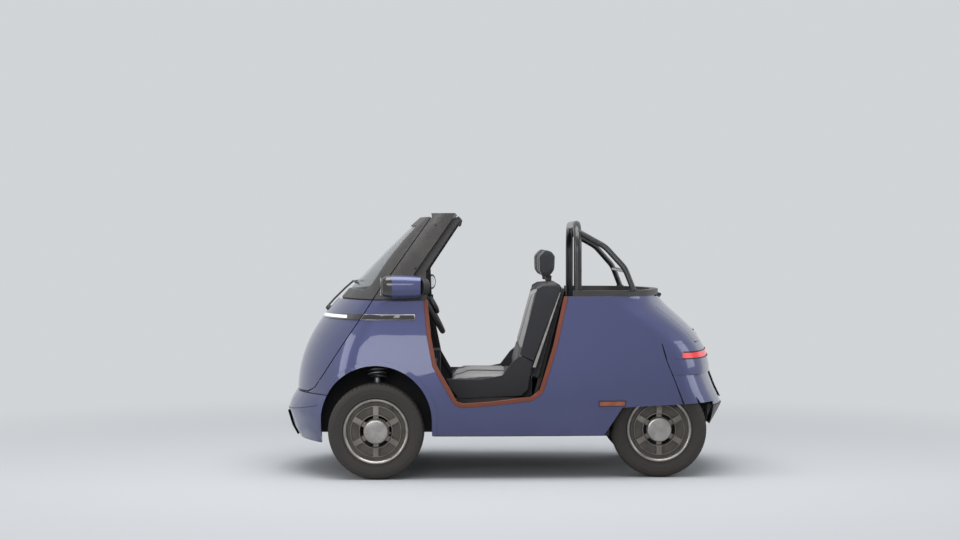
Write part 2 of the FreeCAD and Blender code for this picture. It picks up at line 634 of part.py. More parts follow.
def make_pod():
    """Left pod on its stalk, with the mirror's round housing behind."""
    body = pod_body([(628, POD_RADIUS), (560, POD_RADIUS - 1), (505, POD_RADIUS - 4),
                     (POD_REAR, POD_RADIUS - 7)])
    stalk = rod(V(560, POD_Y - 20, POD_Z - 30), V(560, 560, POD_Z - 40), 20).cut(hull(SCREEN, -FIT))
    middle = V(POD_REAR + 4, POD_Y, POD_Z)
    housing = rod(middle, middle + mirror_way() * MIRROR_REACH, MIRROR_RADIUS)
    return fuse([body, largest(stalk), housing])


def make_lens():
    return pod_body([(691, 26.0), (680, 40.0), (660, 50.0), (628 + FIT, POD_RADIUS)])


def make_mirror_glass():
    face = V(POD_REAR + 4, POD_Y, POD_Z) + mirror_way() * (MIRROR_REACH + FIT)
    return rod(face, face + mirror_way() * 3, MIRROR_RADIUS - 5)


def make_seat_frame():
    low = FLOOR_Z + SHEET + FIT
    outer = side_prism([(SEAT_REAR, low), (280, low), (306, CUSHION_Z), (SEAT_REAR, CUSHION_Z)],
                       -SEAT_HALF, SEAT_HALF)
    wall = 20
    inner = side_prism([(SEAT_REAR + wall, low - 5), (258, low - 5), (280, CUSHION_Z - wall),
                        (SEAT_REAR + wall, CUSHION_Z - wall)], -SEAT_HALF + wall, SEAT_HALF - wall)
    back = side_prism([(SEAT_REAR + 6, 400), (BACK_LOW[0] - FIT, BACK_LOW[1]),
                       (BACK_HIGH[0] - FIT, BACK_HIGH[1]), (BACK_HIGH[0] - 16, BACK_HIGH[1]),
                       (BACK_LOW[0] - 20, BACK_LOW[1] - 10), (SEAT_REAR - 6, 400)],
                      -SEAT_HALF + 60, SEAT_HALF - 60)
    return fuse([outer.cut(inner), back])


def make_cushion():
    low = CUSHION_Z + FIT
    outline = [(SEAT_REAR, low), (300, low), (330, 470), (332, 530), (300, 556), (-60, 548), (SEAT_REAR, 548)]
    return side_prism(outline, -SEAT_HALF + 20, SEAT_HALF - 20)


def make_backrest():
    outline = [(-40, 549), (-182, 1054), (-225, 1085), (-300, 1085), BACK_HIGH, BACK_LOW]
    return side_prism(outline, -SEAT_HALF, SEAT_HALF)


def make_headrest():
    pad = side_prism(HEADREST, 150, 390)
    stalks = [rod(V(-250, y, 1085 + FIT), V(-250, y, 1130), 7) for y in (220, 320)]
    return fuse([pad] + stalks)


def column_way():
    tilt = math.radians(WHEEL_TILT)
    return V(math.cos(tilt), 0, -math.sin(tilt))


def make_column():
    """Steering column, its instrument case and the post that carries it."""
    way = column_way()
    hub = V(WHEEL_X, WHEEL_Y, WHEEL_Z)
    case = block((520, 570), (WHEEL_Y - 80, WHEEL_Y + 80), (925, 1005))
    tube = rod(hub + way * (20 + FIT), hub + way * 420, 26)
    shroud = rod(hub + way * 60, hub + way * 240, 44)
    post = side_prism([(770, 780), (830, 780), (960, FLOOR_Z + SHEET + FIT), (880, FLOOR_Z + SHEET + FIT)],
                      WHEEL_Y - 30, WHEEL_Y + 30)
    return fuse([case, tube, shroud, post])


def make_steering_wheel():
    way = column_way()
    hub = V(WHEEL_X, WHEEL_Y, WHEEL_Z)
    grip = 15.0
    corners = []
    for step in range(8):
        angle = math.radians(22.5 + 45 * step)
        reach = WHEEL_RADIUS - grip + grip * math.cos(angle)
        corners.append(hub + way * (grip * math.sin(angle)) + Y_AXIS * reach)
    rim = Part.Face(Part.makePolygon(corners + corners[:1])).revolve(hub, way, 360)
    boss = rod(hub - way * 22, hub + way * 20, 46)
    up = V(way.z, 0, -way.x)
    spokes = []
    for turn in (0, 90, 270):
        angle = math.radians(turn)
        out = up * math.cos(angle) + Y_AXIS * math.sin(angle)
        spokes.append(rod(hub + out * 30, hub + out * (WHEEL_RADIUS - grip), 11))
    return fuse([rim, boss] + spokes)


def make_battery():
    low = FLOOR_Z + SHEET + FIT
    return block((-110, 240), (-440, 440), (low, 405))


def make_drive_unit():
    housing = rod(V(REAR_AXLE_X, -DRIVE_HALF, 310), V(REAR_AXLE_X, 60, 310), 118)
    gearbox = rod(V(REAR_AXLE_X, 60, 290), V(REAR_AXLE_X, DRIVE_HALF, 290), 132)
    ears = block((REAR_AXLE_X - 60, REAR_AXLE_X + 60), (-120, 120), (400, DECK_Z - FIT))
    return fuse([housing, gearbox, ears])


def make_rear_axle():
    """Half shafts, stub axles and the arms that carry them."""
    inner = DRIVE_HALF + FIT
    stub_end = REAR_TRACK / 2 + 22
    shaft = rod(V(REAR_AXLE_X, inner, TYRE_RADIUS), V(REAR_AXLE_X, stub_end, TYRE_RADIUS), HUB_RADIUS)
    carrier = rod(V(REAR_AXLE_X, 405, TYRE_RADIUS), V(REAR_AXLE_X, REAR_TRACK / 2 - 22, TYRE_RADIUS), 92)
    arm = side_prism([(-600, 300), (-600, 360), (-830, 310), (-880, 330), (-880, 210), (-830, 210)], 360, 440)
    bracket = block((-640, -575 - FIT), (370, 430), (290, 380))
    left = fuse([shaft, carrier, arm, bracket])
    return left


def make_subframe():
    """Cross member under the footwell with the lower arms."""
    low = FLOOR_Z - 44.0
    beam = block((FRONT_AXLE_X - 55, FRONT_AXLE_X + 55), (-390, 390), (low, FLOOR_Z - FIT))
    pieces = [beam]
    for sign in (1, -1):
        arm = top_prism([(FRONT_AXLE_X - 120, sign * 330), (FRONT_AXLE_X - 22, sign * 545),
                         (FRONT_AXLE_X + 22, sign * 545), (FRONT_AXLE_X + 90, sign * 330)], low + 6, low + 24)
        pieces.append(arm)
    return fuse(pieces)


def make_strut():
    """Left damper tube with its spring, on the steering axis."""
    foot = V(FRONT_AXLE_X, KING_LOW[0], KING_LOW[1])
    head = V(FRONT_AXLE_X, KING_HIGH[0], KING_HIGH[1])
    way = (head - foot).normalize()
    seat = foot + way * (STRUT_SPLIT + FIT)
    liner = LINER_Z - FIT
    top = foot + way * ((liner - 8 - foot.z) / way.z)
    pieces = [rod(seat, top, 35), rod(seat, seat + way * 8, 50)]
    pieces.append(rod(top - V(0, 0, 6), V(top.x, top.y, liner), 56))
    for turn in range(4):
        pieces.append(Part.makeCylinder(48, 7, seat + way * (12 + turn * 14), way))
    return fuse(pieces)


def make_knuckle():
    """Left front upright with its stub axle and damper tube, on the steering axis."""
    foot = V(FRONT_AXLE_X, KING_LOW[0], KING_LOW[1])
    head = V(FRONT_AXLE_X, KING_HIGH[0], KING_HIGH[1])
    way = (head - foot).normalize()
    hub_y = FRONT_TRACK / 2
    stub = rod(V(FRONT_AXLE_X, hub_y - 60, TYRE_RADIUS), V(FRONT_AXLE_X, hub_y + 22, TYRE_RADIUS), HUB_RADIUS)
    carrier = rod(V(FRONT_AXLE_X, hub_y - 72, TYRE_RADIUS), V(FRONT_AXLE_X, hub_y - 22, TYRE_RADIUS), 70)
    leg = rod(foot + way * 24, foot + way * STRUT_SPLIT, STRUT_LEG)
    ball = Part.makeSphere(20, foot + way * 26)
    return fuse([stub, carrier, leg, ball])


def between_spokes(radii, y_range, axle):
    """Ring between two radii, parted by the spokes."""
    low, high = y_range
    ring = Part.makeCylinder(radii[1], high - low, axle + V(0, low, 0), Y_AXIS)
    ring = ring.cut(Part.makeCylinder(radii[0], high - low, axle + V(0, low, 0), Y_AXIS))
    for index in range(SPOKES):
        spoke = block((0, radii[1] + 20), y_range, (-SPOKE_WIDTH / 2, SPOKE_WIDTH / 2))
        spoke.rotate(V(0, 0, 0), Y_AXIS, SPOKE_START + 360.0 * index / SPOKES)
        spoke.translate(axle)
        ring = ring.cut(spoke)
    return ring


def make_rim(track, axle_x):
    """Left wheel rim with its cover: six pockets between the spokes, arc slots and a centre cap."""
    y_mid = track / 2
    well = BARREL_RADIUS + 10
    barrel = [(-66, BARREL_RADIUS), (-66, RIM_RADIUS), (-60, RIM_RADIUS), (-54, well), (54, well),
              (60, RIM_RADIUS), (66, RIM_RADIUS), (66, RIM_RADIUS - 9), (50, BARREL_RADIUS)]
    back = 24.0
    face = 58.0
    disc = [(back, 0), (back, BARREL_RADIUS + 1), (48, BARREL_RADIUS + 1), (48, 146), (face, 142),
            (face + 4, SLOT_RING[1] + 4), (46, SLOT_RING[1]), (46, CAP_RADIUS), (66, CAP_RADIUS - 2),
            (70, 40), (71, 0)]
    body = fuse([spun(barrel, y_mid, axle_x, 1), spun(disc, y_mid, axle_x, 1)])
    axle = V(axle_x, y_mid, TYRE_RADIUS)
    body = body.cut(between_spokes(SLOT_RING, (back - 5, face), axle))
    body = body.cut(between_spokes(POCKET_RING, (face - POCKET_DEPTH, face + 10), axle))
    hub = fuse([body, rod(axle + V(0, -20, 0), axle + V(0, 30, 0), HUB_RADIUS + 16)])
    return hub.cut(rod(axle + V(0, -40, 0), axle + V(0, 23, 0), HUB_RADIUS + FIT))


def make_tyre(track, axle_x):
    """Left tyre as a ring of flat facets that touch its true radii, one of them flat on the ground."""
    half = TYRE_WIDTH / 2
    y_mid = track / 2
    seat = BARREL_RADIUS + 10 + FIT
    side = [(53.5, seat), (59.0, RIM_RADIUS + FIT), (half, RIM_RADIUS + 34), (half - 4, TYRE_RADIUS - 18),
            (half - 20, TYRE_RADIUS)]
    profile = [(-y, r) for y, r in side] + side[::-1]
    half_step = math.pi / TYRE_FACETS
    rings = []
    for index in range(TYRE_FACETS):
        angle = (2 * index + 1) * half_step
        rings.append([V(axle_x + r / math.cos(half_step) * math.sin(angle), y_mid + y,
                        TYRE_RADIUS - r / math.cos(half_step) * math.cos(angle)) for y, r in profile])
    faces = []
    for ring, after in zip(rings, rings[1:] + rings[:1]):
        for place, follow in zip(range(len(profile)), list(range(1, len(profile))) + [0]):
            corners = [ring[place], ring[follow], after[follow], after[place]]
            faces.append(Part.Face(Part.makePolygon(corners + corners[:1])))
    shell = Part.makeShell(faces)
    shell.sewShape()
    tyre = Part.makeSolid(shell)
    if tyre.Volume < 0:
        tyre.reverse()
    return tyre


nodes = {
    "side_panel_left": make_side_panel(),
    "front_door": make_front_door(),
    "screen_frame": make_screen_frame(),
    "windscreen": make_windscreen(),
    "windscreen_surround": make_surround(),
    "floor_tub": make_floor(),
    "front_bumper": make_bumper(),
    "tail_lower": make_tail(),
    "rear_bumper": make_rear_bumper(),
    "tail_lamp": make_tail_lamp(),
    "tail_top": make_tail_top(),
    "tailgate": make_tailgate(),
    "rear_belt_trim": make_belt_trim(),
    "rear_valance": make_valance(),
    "hinge_post": make_hinge_post(),
    "door_seals": pair(make_door_seal()),
    "side_strips": pair(make_side_strip()),
    "light_strip": make_light_strip(),
    "side_markers": pair(make_side_marker()),
    "roll_hoop": make_hoop(),
    "hoop_braces": pair(make_brace()),
    "hoop_cross_bar": make_cross_bar(),
    "lamp_pod_left": make_pod(),
    "lamp_lenses": pair(make_lens()),
    "mirror_glasses": pair(make_mirror_glass()),
    "seat_frame": make_seat_frame(),
    "seat_cushion": make_cushion(),
    "backrest": make_backrest(),
    "headrests": pair(make_headrest()),
    "steering_column": make_column(),
    "steering_wheel": make_steering_wheel(),
    "battery_pack": make_battery(),
    "drive_unit": make_drive_unit(),
    "rear_axle": pair(make_rear_axle()),
    "front_subframe": make_subframe(),
    "front_struts": pair(make_strut()),
    "knuckle_left": make_knuckle(),
}
for end, track, axle_x in (("front", FRONT_TRACK, FRONT_AXLE_X), ("rear", REAR_TRACK, REAR_AXLE_X)):
    nodes["rim_" + end + "_left"] = make_rim(track, axle_x)
    nodes["tyre_" + end + "_left"] = make_tyre(track, axle_x)
for name in [name for name in nodes if name.endswith("_left")]:
    nodes[name.replace("_left", "_right")] = mirror(nodes[name])

os.makedirs("parts", exist_ok=True)
for name, shape in nodes.items():
    litres = sum(solid.Volume for solid in shape.Solids) / 1e6
    print(name, len(shape.Solids), shape.isValid(), round(litres, 2))
    shape.exportStep("parts/" + name + ".step")
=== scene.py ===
import json
import math

import bmesh
import bpy
from bpy.props import FloatProperty, FloatVectorProperty, PointerProperty
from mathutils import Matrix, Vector
from mathutils.bvhtree import BVHTree


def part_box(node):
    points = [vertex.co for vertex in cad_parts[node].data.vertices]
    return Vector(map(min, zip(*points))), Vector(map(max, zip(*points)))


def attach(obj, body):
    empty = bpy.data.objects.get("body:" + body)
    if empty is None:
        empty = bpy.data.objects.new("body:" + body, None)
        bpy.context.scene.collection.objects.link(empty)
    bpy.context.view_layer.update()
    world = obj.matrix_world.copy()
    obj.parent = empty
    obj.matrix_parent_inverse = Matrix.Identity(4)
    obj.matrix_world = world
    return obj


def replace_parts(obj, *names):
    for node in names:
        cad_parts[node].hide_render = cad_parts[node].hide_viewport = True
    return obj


bl_info = {
    "name": "Open Microcar Finish",
    "version": (1, 0, 0),
    "blender": (4, 5, 0),
    "location": "3D View > Sidebar > Microcar",
    "description": "Finishes the surfaces and soft parts of an open two-seat microcar",
    "category": "Object",
}

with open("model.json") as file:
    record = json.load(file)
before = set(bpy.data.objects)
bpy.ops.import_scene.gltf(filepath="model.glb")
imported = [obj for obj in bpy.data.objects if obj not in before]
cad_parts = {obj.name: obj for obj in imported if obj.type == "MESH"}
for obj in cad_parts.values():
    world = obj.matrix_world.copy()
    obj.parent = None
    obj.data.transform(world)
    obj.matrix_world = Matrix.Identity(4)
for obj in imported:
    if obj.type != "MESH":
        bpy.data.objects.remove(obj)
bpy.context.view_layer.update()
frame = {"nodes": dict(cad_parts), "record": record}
WHEELS = ("front_left", "front_right", "rear_left", "rear_right")
SIDES = ((1, "left"), (-1, "right"))
FORE, AFT = Vector((1, 0, 0)), Vector((-1, 0, 0))
UP, DOWN = Vector((0, 0, 1)), Vector((0, 0, -1))
TREAD_STEPS = 240
SMOOTH = math.radians(32)
# Rays that look for a surface start this far ahead of or behind the car's middle, and this far beside it.
AHEAD = 3.0
BESIDE = 2.0


def colour(name, description, default):
    return FloatVectorProperty(name=name, description=description, default=default, size=3, min=0, max=1,
                               subtype="COLOR")


def length(name, description, default):
    return FloatProperty(name=name, description=description, default=default, min=0, unit="LENGTH")


class CarColours(bpy.types.PropertyGroup):
    """Colours of the car's finishes"""
    paint: colour("Body paint", "Metallic paint of the outer panels", (0.043, 0.05, 0.136))
    plastic: colour("Frame plastic", "Screen frame and belt rim", (0.046, 0.042, 0.04))
    lining: colour("Lining", "Felt inside the panels", (0.014, 0.014, 0.015))
    seal: colour("Seal", "Rubber round the side openings", (0.165, 0.034, 0.013))
    fabric: colour("Seat fabric", "Weave of the bench", (0.022, 0.022, 0.026))
    piping: colour("Seat trim", "Inserts and edges of the bench", (0.30, 0.29, 0.29))
    cover: colour("Wheel cover", "Lacquer of the wheel covers", (0.18, 0.16, 0.142))
    rubber: colour("Tyre", "Road rubber", (0.035, 0.0295, 0.0255))


class CarSizes(bpy.types.PropertyGroup):
    """Sizes of the fine detail"""
    edge: length("Panel edge", "Rounding of the panels' cut edges", 0.0018)
    tread: length("Tread depth", "Depth of the tyre's grooves", 0.005)
    grid: length("Pad grid", "Grid of the padded pieces", 0.01)
    fill: length("Pad fill", "How far a padded face swells", 0.018)
    camera_y: length("Camera distance", "Camera's distance from the car's centre plane", 11.7)


def colours():
    return bpy.context.scene.car_colours


def sizes():
    return bpy.context.scene.car_sizes


class Term:
    """A shader value that can be used in Python sums."""

    def __init__(self, shader, socket):
        self.shader = shader
        self.socket = socket

    def maths(self, operation, *values):
        node = self.shader.add("ShaderNodeMath", {"operation": operation}, list(values))
        return Term(self.shader, node.outputs[0])

    def __add__(self, other):
        return self.maths("ADD", self, other)

    __radd__ = __add__

    def __sub__(self, other):
        return self.maths("SUBTRACT", self, other)

    def __rsub__(self, other):
        return self.maths("SUBTRACT", other, self)

    def __mul__(self, other):
        return self.maths("MULTIPLY", self, other)

    def sine(self):
        return self.maths("SINE", self)

    def most(self, other):
        return self.maths("MAXIMUM", self, other)

    def ramp(self, low, high):
        """0 at low, 1 at high and smooth between."""
        node = self.shader.add("ShaderNodeMapRange", {"interpolation_type": "SMOOTHSTEP"},
                               {"Value": self, "From Min": low, "From Max": high})
        return Term(self.shader, node.outputs[0])


class Shader:
    """Adds nodes to one node tree and feeds their sockets."""

    def __init__(self, tree):
        self.tree = tree
        self.place = self.add("ShaderNodeTexCoord").outputs["Object"]

    def add(self, kind, settings=None, values=None):
        node = self.tree.nodes.new(kind)
        for key, value in (settings or {}).items():
            setattr(node, key, value)
        pairs = values.items() if isinstance(values, dict) else enumerate(values or [])
        for key, value in pairs:
            self.feed(node.inputs[key], value)
        return node

    def feed(self, socket, value):
        value = value.socket if isinstance(value, Term) else value
        if isinstance(value, bpy.types.NodeSocket):
            self.tree.links.new(value, socket)
        elif socket.type == "RGBA":
            socket.default_value = (*value[:3], 1.0)
        else:
            socket.default_value = value

    def axis(self, letter):
        return Term(self, self.add("ShaderNodeSeparateXYZ", {}, [self.place]).outputs[letter])

    def noise(self, scale, detail=3.0, rough=0.5):
        values = {"Vector": self.place, "Scale": scale, "Detail": detail, "Roughness": rough}
        return Term(self, self.add("ShaderNodeTexNoise", {}, values).outputs[0])

    def cells(self, scale, output="Distance"):
        node = self.add("ShaderNodeTexVoronoi", {}, {"Vector": self.place, "Scale": scale})
        return Term(self, node.outputs[output])

    def mix(self, factor, first, second):
        return self.add("ShaderNodeMix", {"data_type": "RGBA"}, {0: factor, 6: first, 7: second}).outputs[2]

    def seen(self):
        """1 for the rays that show the backdrop: to the camera, off a shine or through glass."""
        rays = self.add("ShaderNodeLightPath").outputs
        camera, glossy, through = (Term(self, rays[name]) for name in
                                   ("Is Camera Ray", "Is Glossy Ray", "Is Transmission Ray"))
        return camera.most(glossy).most(through)

    def blend(self, factor, first, second, output):
        """Ends the tree in a mix of two shaders."""
        self.feed(output, self.add("ShaderNodeMixShader", {}, [factor, first, second]).outputs[0])


class Finish(Shader):
    """One material on a Principled shader."""

    def __init__(self, name, **values):
        self.material = bpy.data.materials.new(name)
        self.material.use_nodes = True
        super().__init__(self.material.node_tree)
        self.surface = self.tree.nodes["Principled BSDF"]
        self.set(**values)

    def set(self, **values):
        """Shader sockets by name, with underscores for spaces."""
        for key, value in values.items():
            self.feed(self.surface.inputs[key.replace("_", " ").title()], value)
        return self

    def bump(self, height, distance, strength=1.0):
        node = self.add("ShaderNodeBump", {}, {"Height": height, "Distance": distance, "Strength": strength})
        return self.set(normal=node.outputs[0])

    def drift(self, base, amount=0.25, scale=9.0):
        """Base colour that drifts a little lighter and darker."""
        dark = tuple(channel * (1 - amount) for channel in base)
        light = tuple(min(1, channel * (1 + amount)) for channel in base)
        return self.mix(self.noise(scale, 4.0).ramp(0.35, 0.65), dark, light)


def paler(base, factor, lift=0.0):
    return tuple(min(1, channel * factor + lift) for channel in base)


def paint_finish():
    """Metallic paint with small flakes, a clear coat and road dust low down."""
    finish = Finish("violet_blue_paint", metallic=0.6, coat_roughness=0.03)
    base = tuple(colours().paint)
    flake = finish.add("ShaderNodeSeparateColor", {}, [finish.cells(5200.0, "Color")])
    grain = Term(finish, flake.outputs[0])
    tone = finish.mix(grain * 0.4 + finish.noise(3.0) * 0.1, base, paler(base, 1.8, 0.01))
    dust = finish.axis("Z").ramp(0.62, 0.2) * finish.noise(14.0, 6.0).ramp(0.35, 0.75)
    finish.set(base_color=finish.mix(dust * 0.15, tone, (0.1, 0.095, 0.09)),
               roughness=0.36 + grain * 0.14 + dust * 0.1, coat_weight=1.0 - dust * 0.4)
    return finish.bump(finish.noise(150.0, 1.0), 0.0001, 0.35)


def plastic_finish(name, base, roughness=0.45, grain=900.0):
    finish = Finish(name)
    finish.set(base_color=finish.drift(base, 0.16), roughness=roughness + (finish.noise(30.0) - 0.5) * 0.16)
    return finish.bump(finish.cells(grain), 0.0002, 0.5)


def gloss_finish(name, base, roughness=0.12, coat=1.0):
    finish = Finish(name, coat_weight=coat, coat_roughness=0.04)
    finish.set(base_color=finish.drift(base, 0.08), roughness=roughness + finish.noise(40.0) * 0.06)
    return finish.bump(finish.noise(220.0, 1.0), 0.00005, 0.4)


def metal_finish(name, base, roughness=0.3, grain=60.0, metallic=1.0):
    finish = Finish(name, metallic=metallic)
    smudge = finish.noise(grain, 5.0)
    finish.set(base_color=finish.drift(base, 0.12, 20.0), roughness=roughness + (smudge - 0.5) * 0.25)
    return finish.bump(finish.noise(grain * 12), 0.0001, 0.4)


def rubber_finish(name, base, roughness=0.6):
    finish = Finish(name)
    dust = finish.noise(26.0, 6.0).ramp(0.45, 0.8)
    finish.set(base_color=finish.mix(dust * 0.5, base, paler(base, 1.5, 0.01)),
               roughness=roughness + dust * 0.2)
    return finish.bump(finish.noise(700.0), 0.0002, 0.5)


def lamp_finish(name, base, glow, coat=1.0):
    """A lit lens with fine upright ribs."""
    finish = Finish(name, coat_weight=coat, coat_roughness=0.02, emission_strength=glow)
    ribs = (finish.axis("Y") * 900.0).sine() * 0.5 + 0.5
    tone = finish.mix(ribs, paler(base, 0.7), base)
    finish.set(base_color=tone, emission_color=tone, roughness=0.12 + ribs * 0.1)
    return finish.bump(ribs, 0.0006, 0.5)


def glass_finish(name, tint, clear):
    """Thin glass: mostly see-through, with a sharp shine."""
    finish = Finish(name, coat_weight=1.0, coat_roughness=0.0)
    film = finish.noise(5.0, 5.0)
    finish.set(base_color=finish.mix(film * 0.3, tint, paler(tint, 1.2)), roughness=0.03 + film * 0.05,
               alpha=1 - clear + film * 0.05)
    return finish


def weave_finish(name, base, thread=0.0016):
    """Plain weave on object coordinates, with a slightly lighter thread."""
    finish = Finish(name, sheen_weight=0.3, sheen_roughness=0.5)
    turn = math.tau / thread
    rows = (finish.axis("Y") * turn).sine()
    height = ((finish.axis("X") * turn).sine() * rows).most((finish.axis("Z") * turn).sine() * rows)
    fade = finish.noise(7.0, 4.0)
    light = height.ramp(-0.4, 1.0) * (0.4 + fade * 0.5)
    finish.set(base_color=finish.mix(light, base, paler(base, 1.8, 0.008)),
               roughness=0.82 + fade * 0.12)
    return finish.bump(height + finish.noise(400.0) * 0.5, 0.0005, 0.7)


def felt_finish(name, base):
    finish = Finish(name)
    pile = finish.noise(900.0, 2.0)
    finish.set(base_color=finish.mix(pile.ramp(0.3, 0.7), base, paler(base, 1.6)),
               roughness=0.95 - pile * 0.1)
    return finish.bump(pile, 0.0012, 0.6)


FINISHES = {}


def finish_of(name):
    """Each material is made once, by the name of its record slot or by a name of its own."""
    if name not in FINISHES:
        tint = colours()
        makers = {
            "body_paint": (paint_finish,),
            "black_trim": (plastic_finish, "satin_frame_plastic", tint.plastic),
            "lining": (felt_finish, "panel_lining", tint.lining),
            "structure": (felt_finish, "floor_carpet", (0.018, 0.018, 0.02)),
            "black_tube": (gloss_finish, "powder_coat_black", (0.012, 0.012, 0.013), 0.3, 0.4),
            "glass": (glass_finish, "windscreen_glass", (0.035, 0.05, 0.055), 0.74),
            "lamp_white": (lamp_finish, "white_lamp_strip", (0.9, 0.92, 0.95), 0.7),
            "lamp_dark": (gloss_finish, "dark_lamp_cover", (0.012, 0.01, 0.0095), 0.08),
            "lamp_red": (lamp_finish, "red_lamp", (0.5, 0.004, 0.012), 1.2, 0.15),
            "lamp_ring": (lamp_finish, "lens_ring_light", (0.4, 0.41, 0.43), 0.15),
            # The amber side insert is no lamp: its faint glow is painted light.
            "lamp_amber": (lamp_finish, "amber_marker", (0.33, 0.06, 0.016), 0.1),
            "seal": (rubber_finish, "orange_seal_rubber", tint.seal, 0.5),
            "dark_rubber": (rubber_finish, "dark_rubber", (0.02, 0.02, 0.02)),
            "seat_fabric": (weave_finish, "charcoal_weave", tint.fabric),
            "seat_trim": (weave_finish, "pale_trim_weave", tint.piping, 0.0012),
            "mirror": (metal_finish, "mirror_face", (0.85, 0.86, 0.88), 0.03, 4.0),
            "wheel_cover": (metal_finish, "grey_cover_lacquer", tint.cover, 0.42, 60.0, 0.7),
            # A darker, rougher copy of the cover lacquer: its darkness is painted shade in the pockets and
            # the gutter.
            "cover_pocket": (metal_finish, "dull_cover_pocket", paler(tint.cover, 0.5), 0.55, 60.0, 0.6),
            "bright_metal": (metal_finish, "bright_turned_metal", (0.34, 0.32, 0.305), 0.3, 25.0),
            "tyre": (rubber_finish, "tyre_rubber", tint.rubber, 0.78),
            "cast_metal": (metal_finish, "cast_alloy", (0.32, 0.32, 0.33), 0.5, 90.0),
            "dark_steel": (plastic_finish, "black_painted_steel", (0.018, 0.018, 0.02), 0.5, 400.0),
            "grip": (plastic_finish, "grained_grip", (0.016, 0.016, 0.018), 0.55, 500.0),
            "plate": (plastic_finish, "blank_plate", (0.55, 0.55, 0.53), 0.4, 300.0),
            "screen": (gloss_finish, "dark_display", (0.006, 0.008, 0.012), 0.06),
        }
        maker, *values = makers[name]
        FINISHES[name] = maker(*values).material
    return FINISHES[name]


def as_piece(bm, name, body, slot, finishes=None, smooth=SMOOTH):
    """Turns a bmesh into a piece that rides on a body; its faces use the finishes by index.

    Its shading is smooth, but for edges sharper than an angle.
    """
    for face in bm.faces:
        face.smooth = True
    for edge in bm.edges:
        edge.smooth = len(edge.link_faces) == 2 and edge.calc_face_angle() < smooth
    mesh = bpy.data.meshes.new(name)
    bm.to_mesh(mesh)
    bm.free()
    piece = bpy.data.objects.new(name, mesh)
    bpy.context.scene.collection.objects.link(piece)
    for finish in finishes or [slot]:
        mesh.materials.append(finish_of(finish))
    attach(piece, body)
    return piece


def made_piece(bm, name, body, slot, finishes=None):
    """As as_piece, for a form made here, whose faces are first turned outwards."""
    bmesh.ops.recalc_face_normals(bm, faces=bm.faces)
    return as_piece(bm, name, body, slot, finishes)


def rounded(piece, width, segments=2):
    """Eases the edges sharper than 35 degrees."""
    bevel = piece.modifiers.new("edge", "BEVEL")
    bevel.width = width
    bevel.segments = segments
    bevel.limit_method = "ANGLE"
    bevel.angle_limit = math.radians(35)
    return piece


def node_bmesh(node):
    """The node's own form, with its loose triangles joined."""
    bm = bmesh.new()
    bm.from_mesh(frame["nodes"][node].data)
    bmesh.ops.remove_doubles(bm, verts=bm.verts, dist=0.00002)
    for face in bm.faces:
        face.material_index = 0
    return bm


def body_of(node):
    return next(body for body, members in frame["record"]["behaviour"]["bodies"].items() if node in members)


def slot_of(node):
    return next(row["material_slot"] for row in frame["record"]["subparts"] if row["node"] == node)


def joint_of(name):
    """A joint's place and direction."""
    joint = next(row for row in frame["record"]["behaviour"]["joints"] if row["name"] == name)
    return Vector(joint["pos_m"]), Vector(joint["axis"]).normalized()


def outward(face):
    """How far a face looks away from the car's middle, from -1 to 1."""
    middle = face.calc_center_median()
    away = Vector((middle.x / 3, middle.y, 0)).normalized()
    return face.normal.dot(away)


SURFACES = {}


def hit(node, start, way):
    """Where a ray first meets a node, and the surface's direction there."""
    if node not in SURFACES:
        mesh = frame["nodes"][node].data
        corners = [vertex.co for vertex in mesh.vertices]
        SURFACES[node] = BVHTree.FromPolygons(corners, [polygon.vertices for polygon in mesh.polygons])
    place, normal, _, _ = SURFACES[node].ray_cast(Vector(start), Vector(way))
    if place is None:
        raise ValueError("no surface of " + node)
    return place, normal


def arc(node, x, first, last, steps, proud, z, rise=0):
    """Points on a node's outside between two angles about an upright line at X; its ends may rise."""
    run = []
    for step in range(steps + 1):
        share = 2 * step / steps - 1
        turn = math.radians((first + last + (last - first) * share) / 2)
        away = Vector((math.cos(turn), math.sin(turn), 0))
        place, normal = hit(node, Vector((x, 0, z + rise * share ** 2)) + away * AHEAD, -away)
        run.append(place + normal * proud)
    return run


def prism(outline, low, high):
    """Side-view outline of (X, Z) points, drawn out across the car from one Y to another."""
    bm = bmesh.new()
    face = bm.faces.new([bm.verts.new((x, low, z)) for x, z in outline])
    made = bmesh.ops.extrude_face_region(bm, geom=[face])["geom"]
    moved = [one for one in made if isinstance(one, bmesh.types.BMVert)]
    bmesh.ops.translate(bm, vec=(0, high - low, 0), verts=moved)
    return bm


def equal_boxes(size, places, name, slot, finish=None):
    """Equal boxes on the fixed body, as one piece."""
    bm = bmesh.new()
    for place in places:
        corners = bmesh.ops.create_cube(bm, size=1.0)["verts"]
        bmesh.ops.scale(bm, vec=size, verts=corners)
        bmesh.ops.translate(bm, vec=place, verts=corners)
    return made_piece(bm, name, "root", slot, [finish or slot])


def inset(bm, faces, width, depth):
    """Draws faces in from their border, moves them out by a depth and returns the border's faces."""
    done = bmesh.ops.inset_region(bm, faces=faces, thickness=width, depth=depth, use_even_offset=True)
    return done["faces"]


def sliced(bm, place, way, **settings):
    """Cuts all faces along a plane."""
    everything = bm.verts[:] + bm.edges[:] + bm.faces[:]
    bmesh.ops.bisect_plane(bm, geom=everything, plane_co=place, plane_no=way, **settings)


def spun(profile, centre, way, steps, closed=False):
    """Points of (distance along an axis, radius) spun about it."""
    way = Vector(way).normalized()
    across = way.cross((0, 1, 0) if abs(way.y) < 0.9 else FORE).normalized()
    bm = bmesh.new()
    points = [bm.verts.new(Vector(centre) + way * along + across * radius) for along, radius in profile]
    pairs = list(zip(points, points[1:])) + ([(points[-1], points[0])] if closed else [])
    edges = [bm.edges.new(pair) for pair in pairs]
    bmesh.ops.spin(bm, geom=points + edges, cent=centre, axis=way, angle=math.tau, steps=steps,
                   use_merge=True)
    bmesh.ops.remove_doubles(bm, verts=bm.verts, dist=0.000001)
    return bm


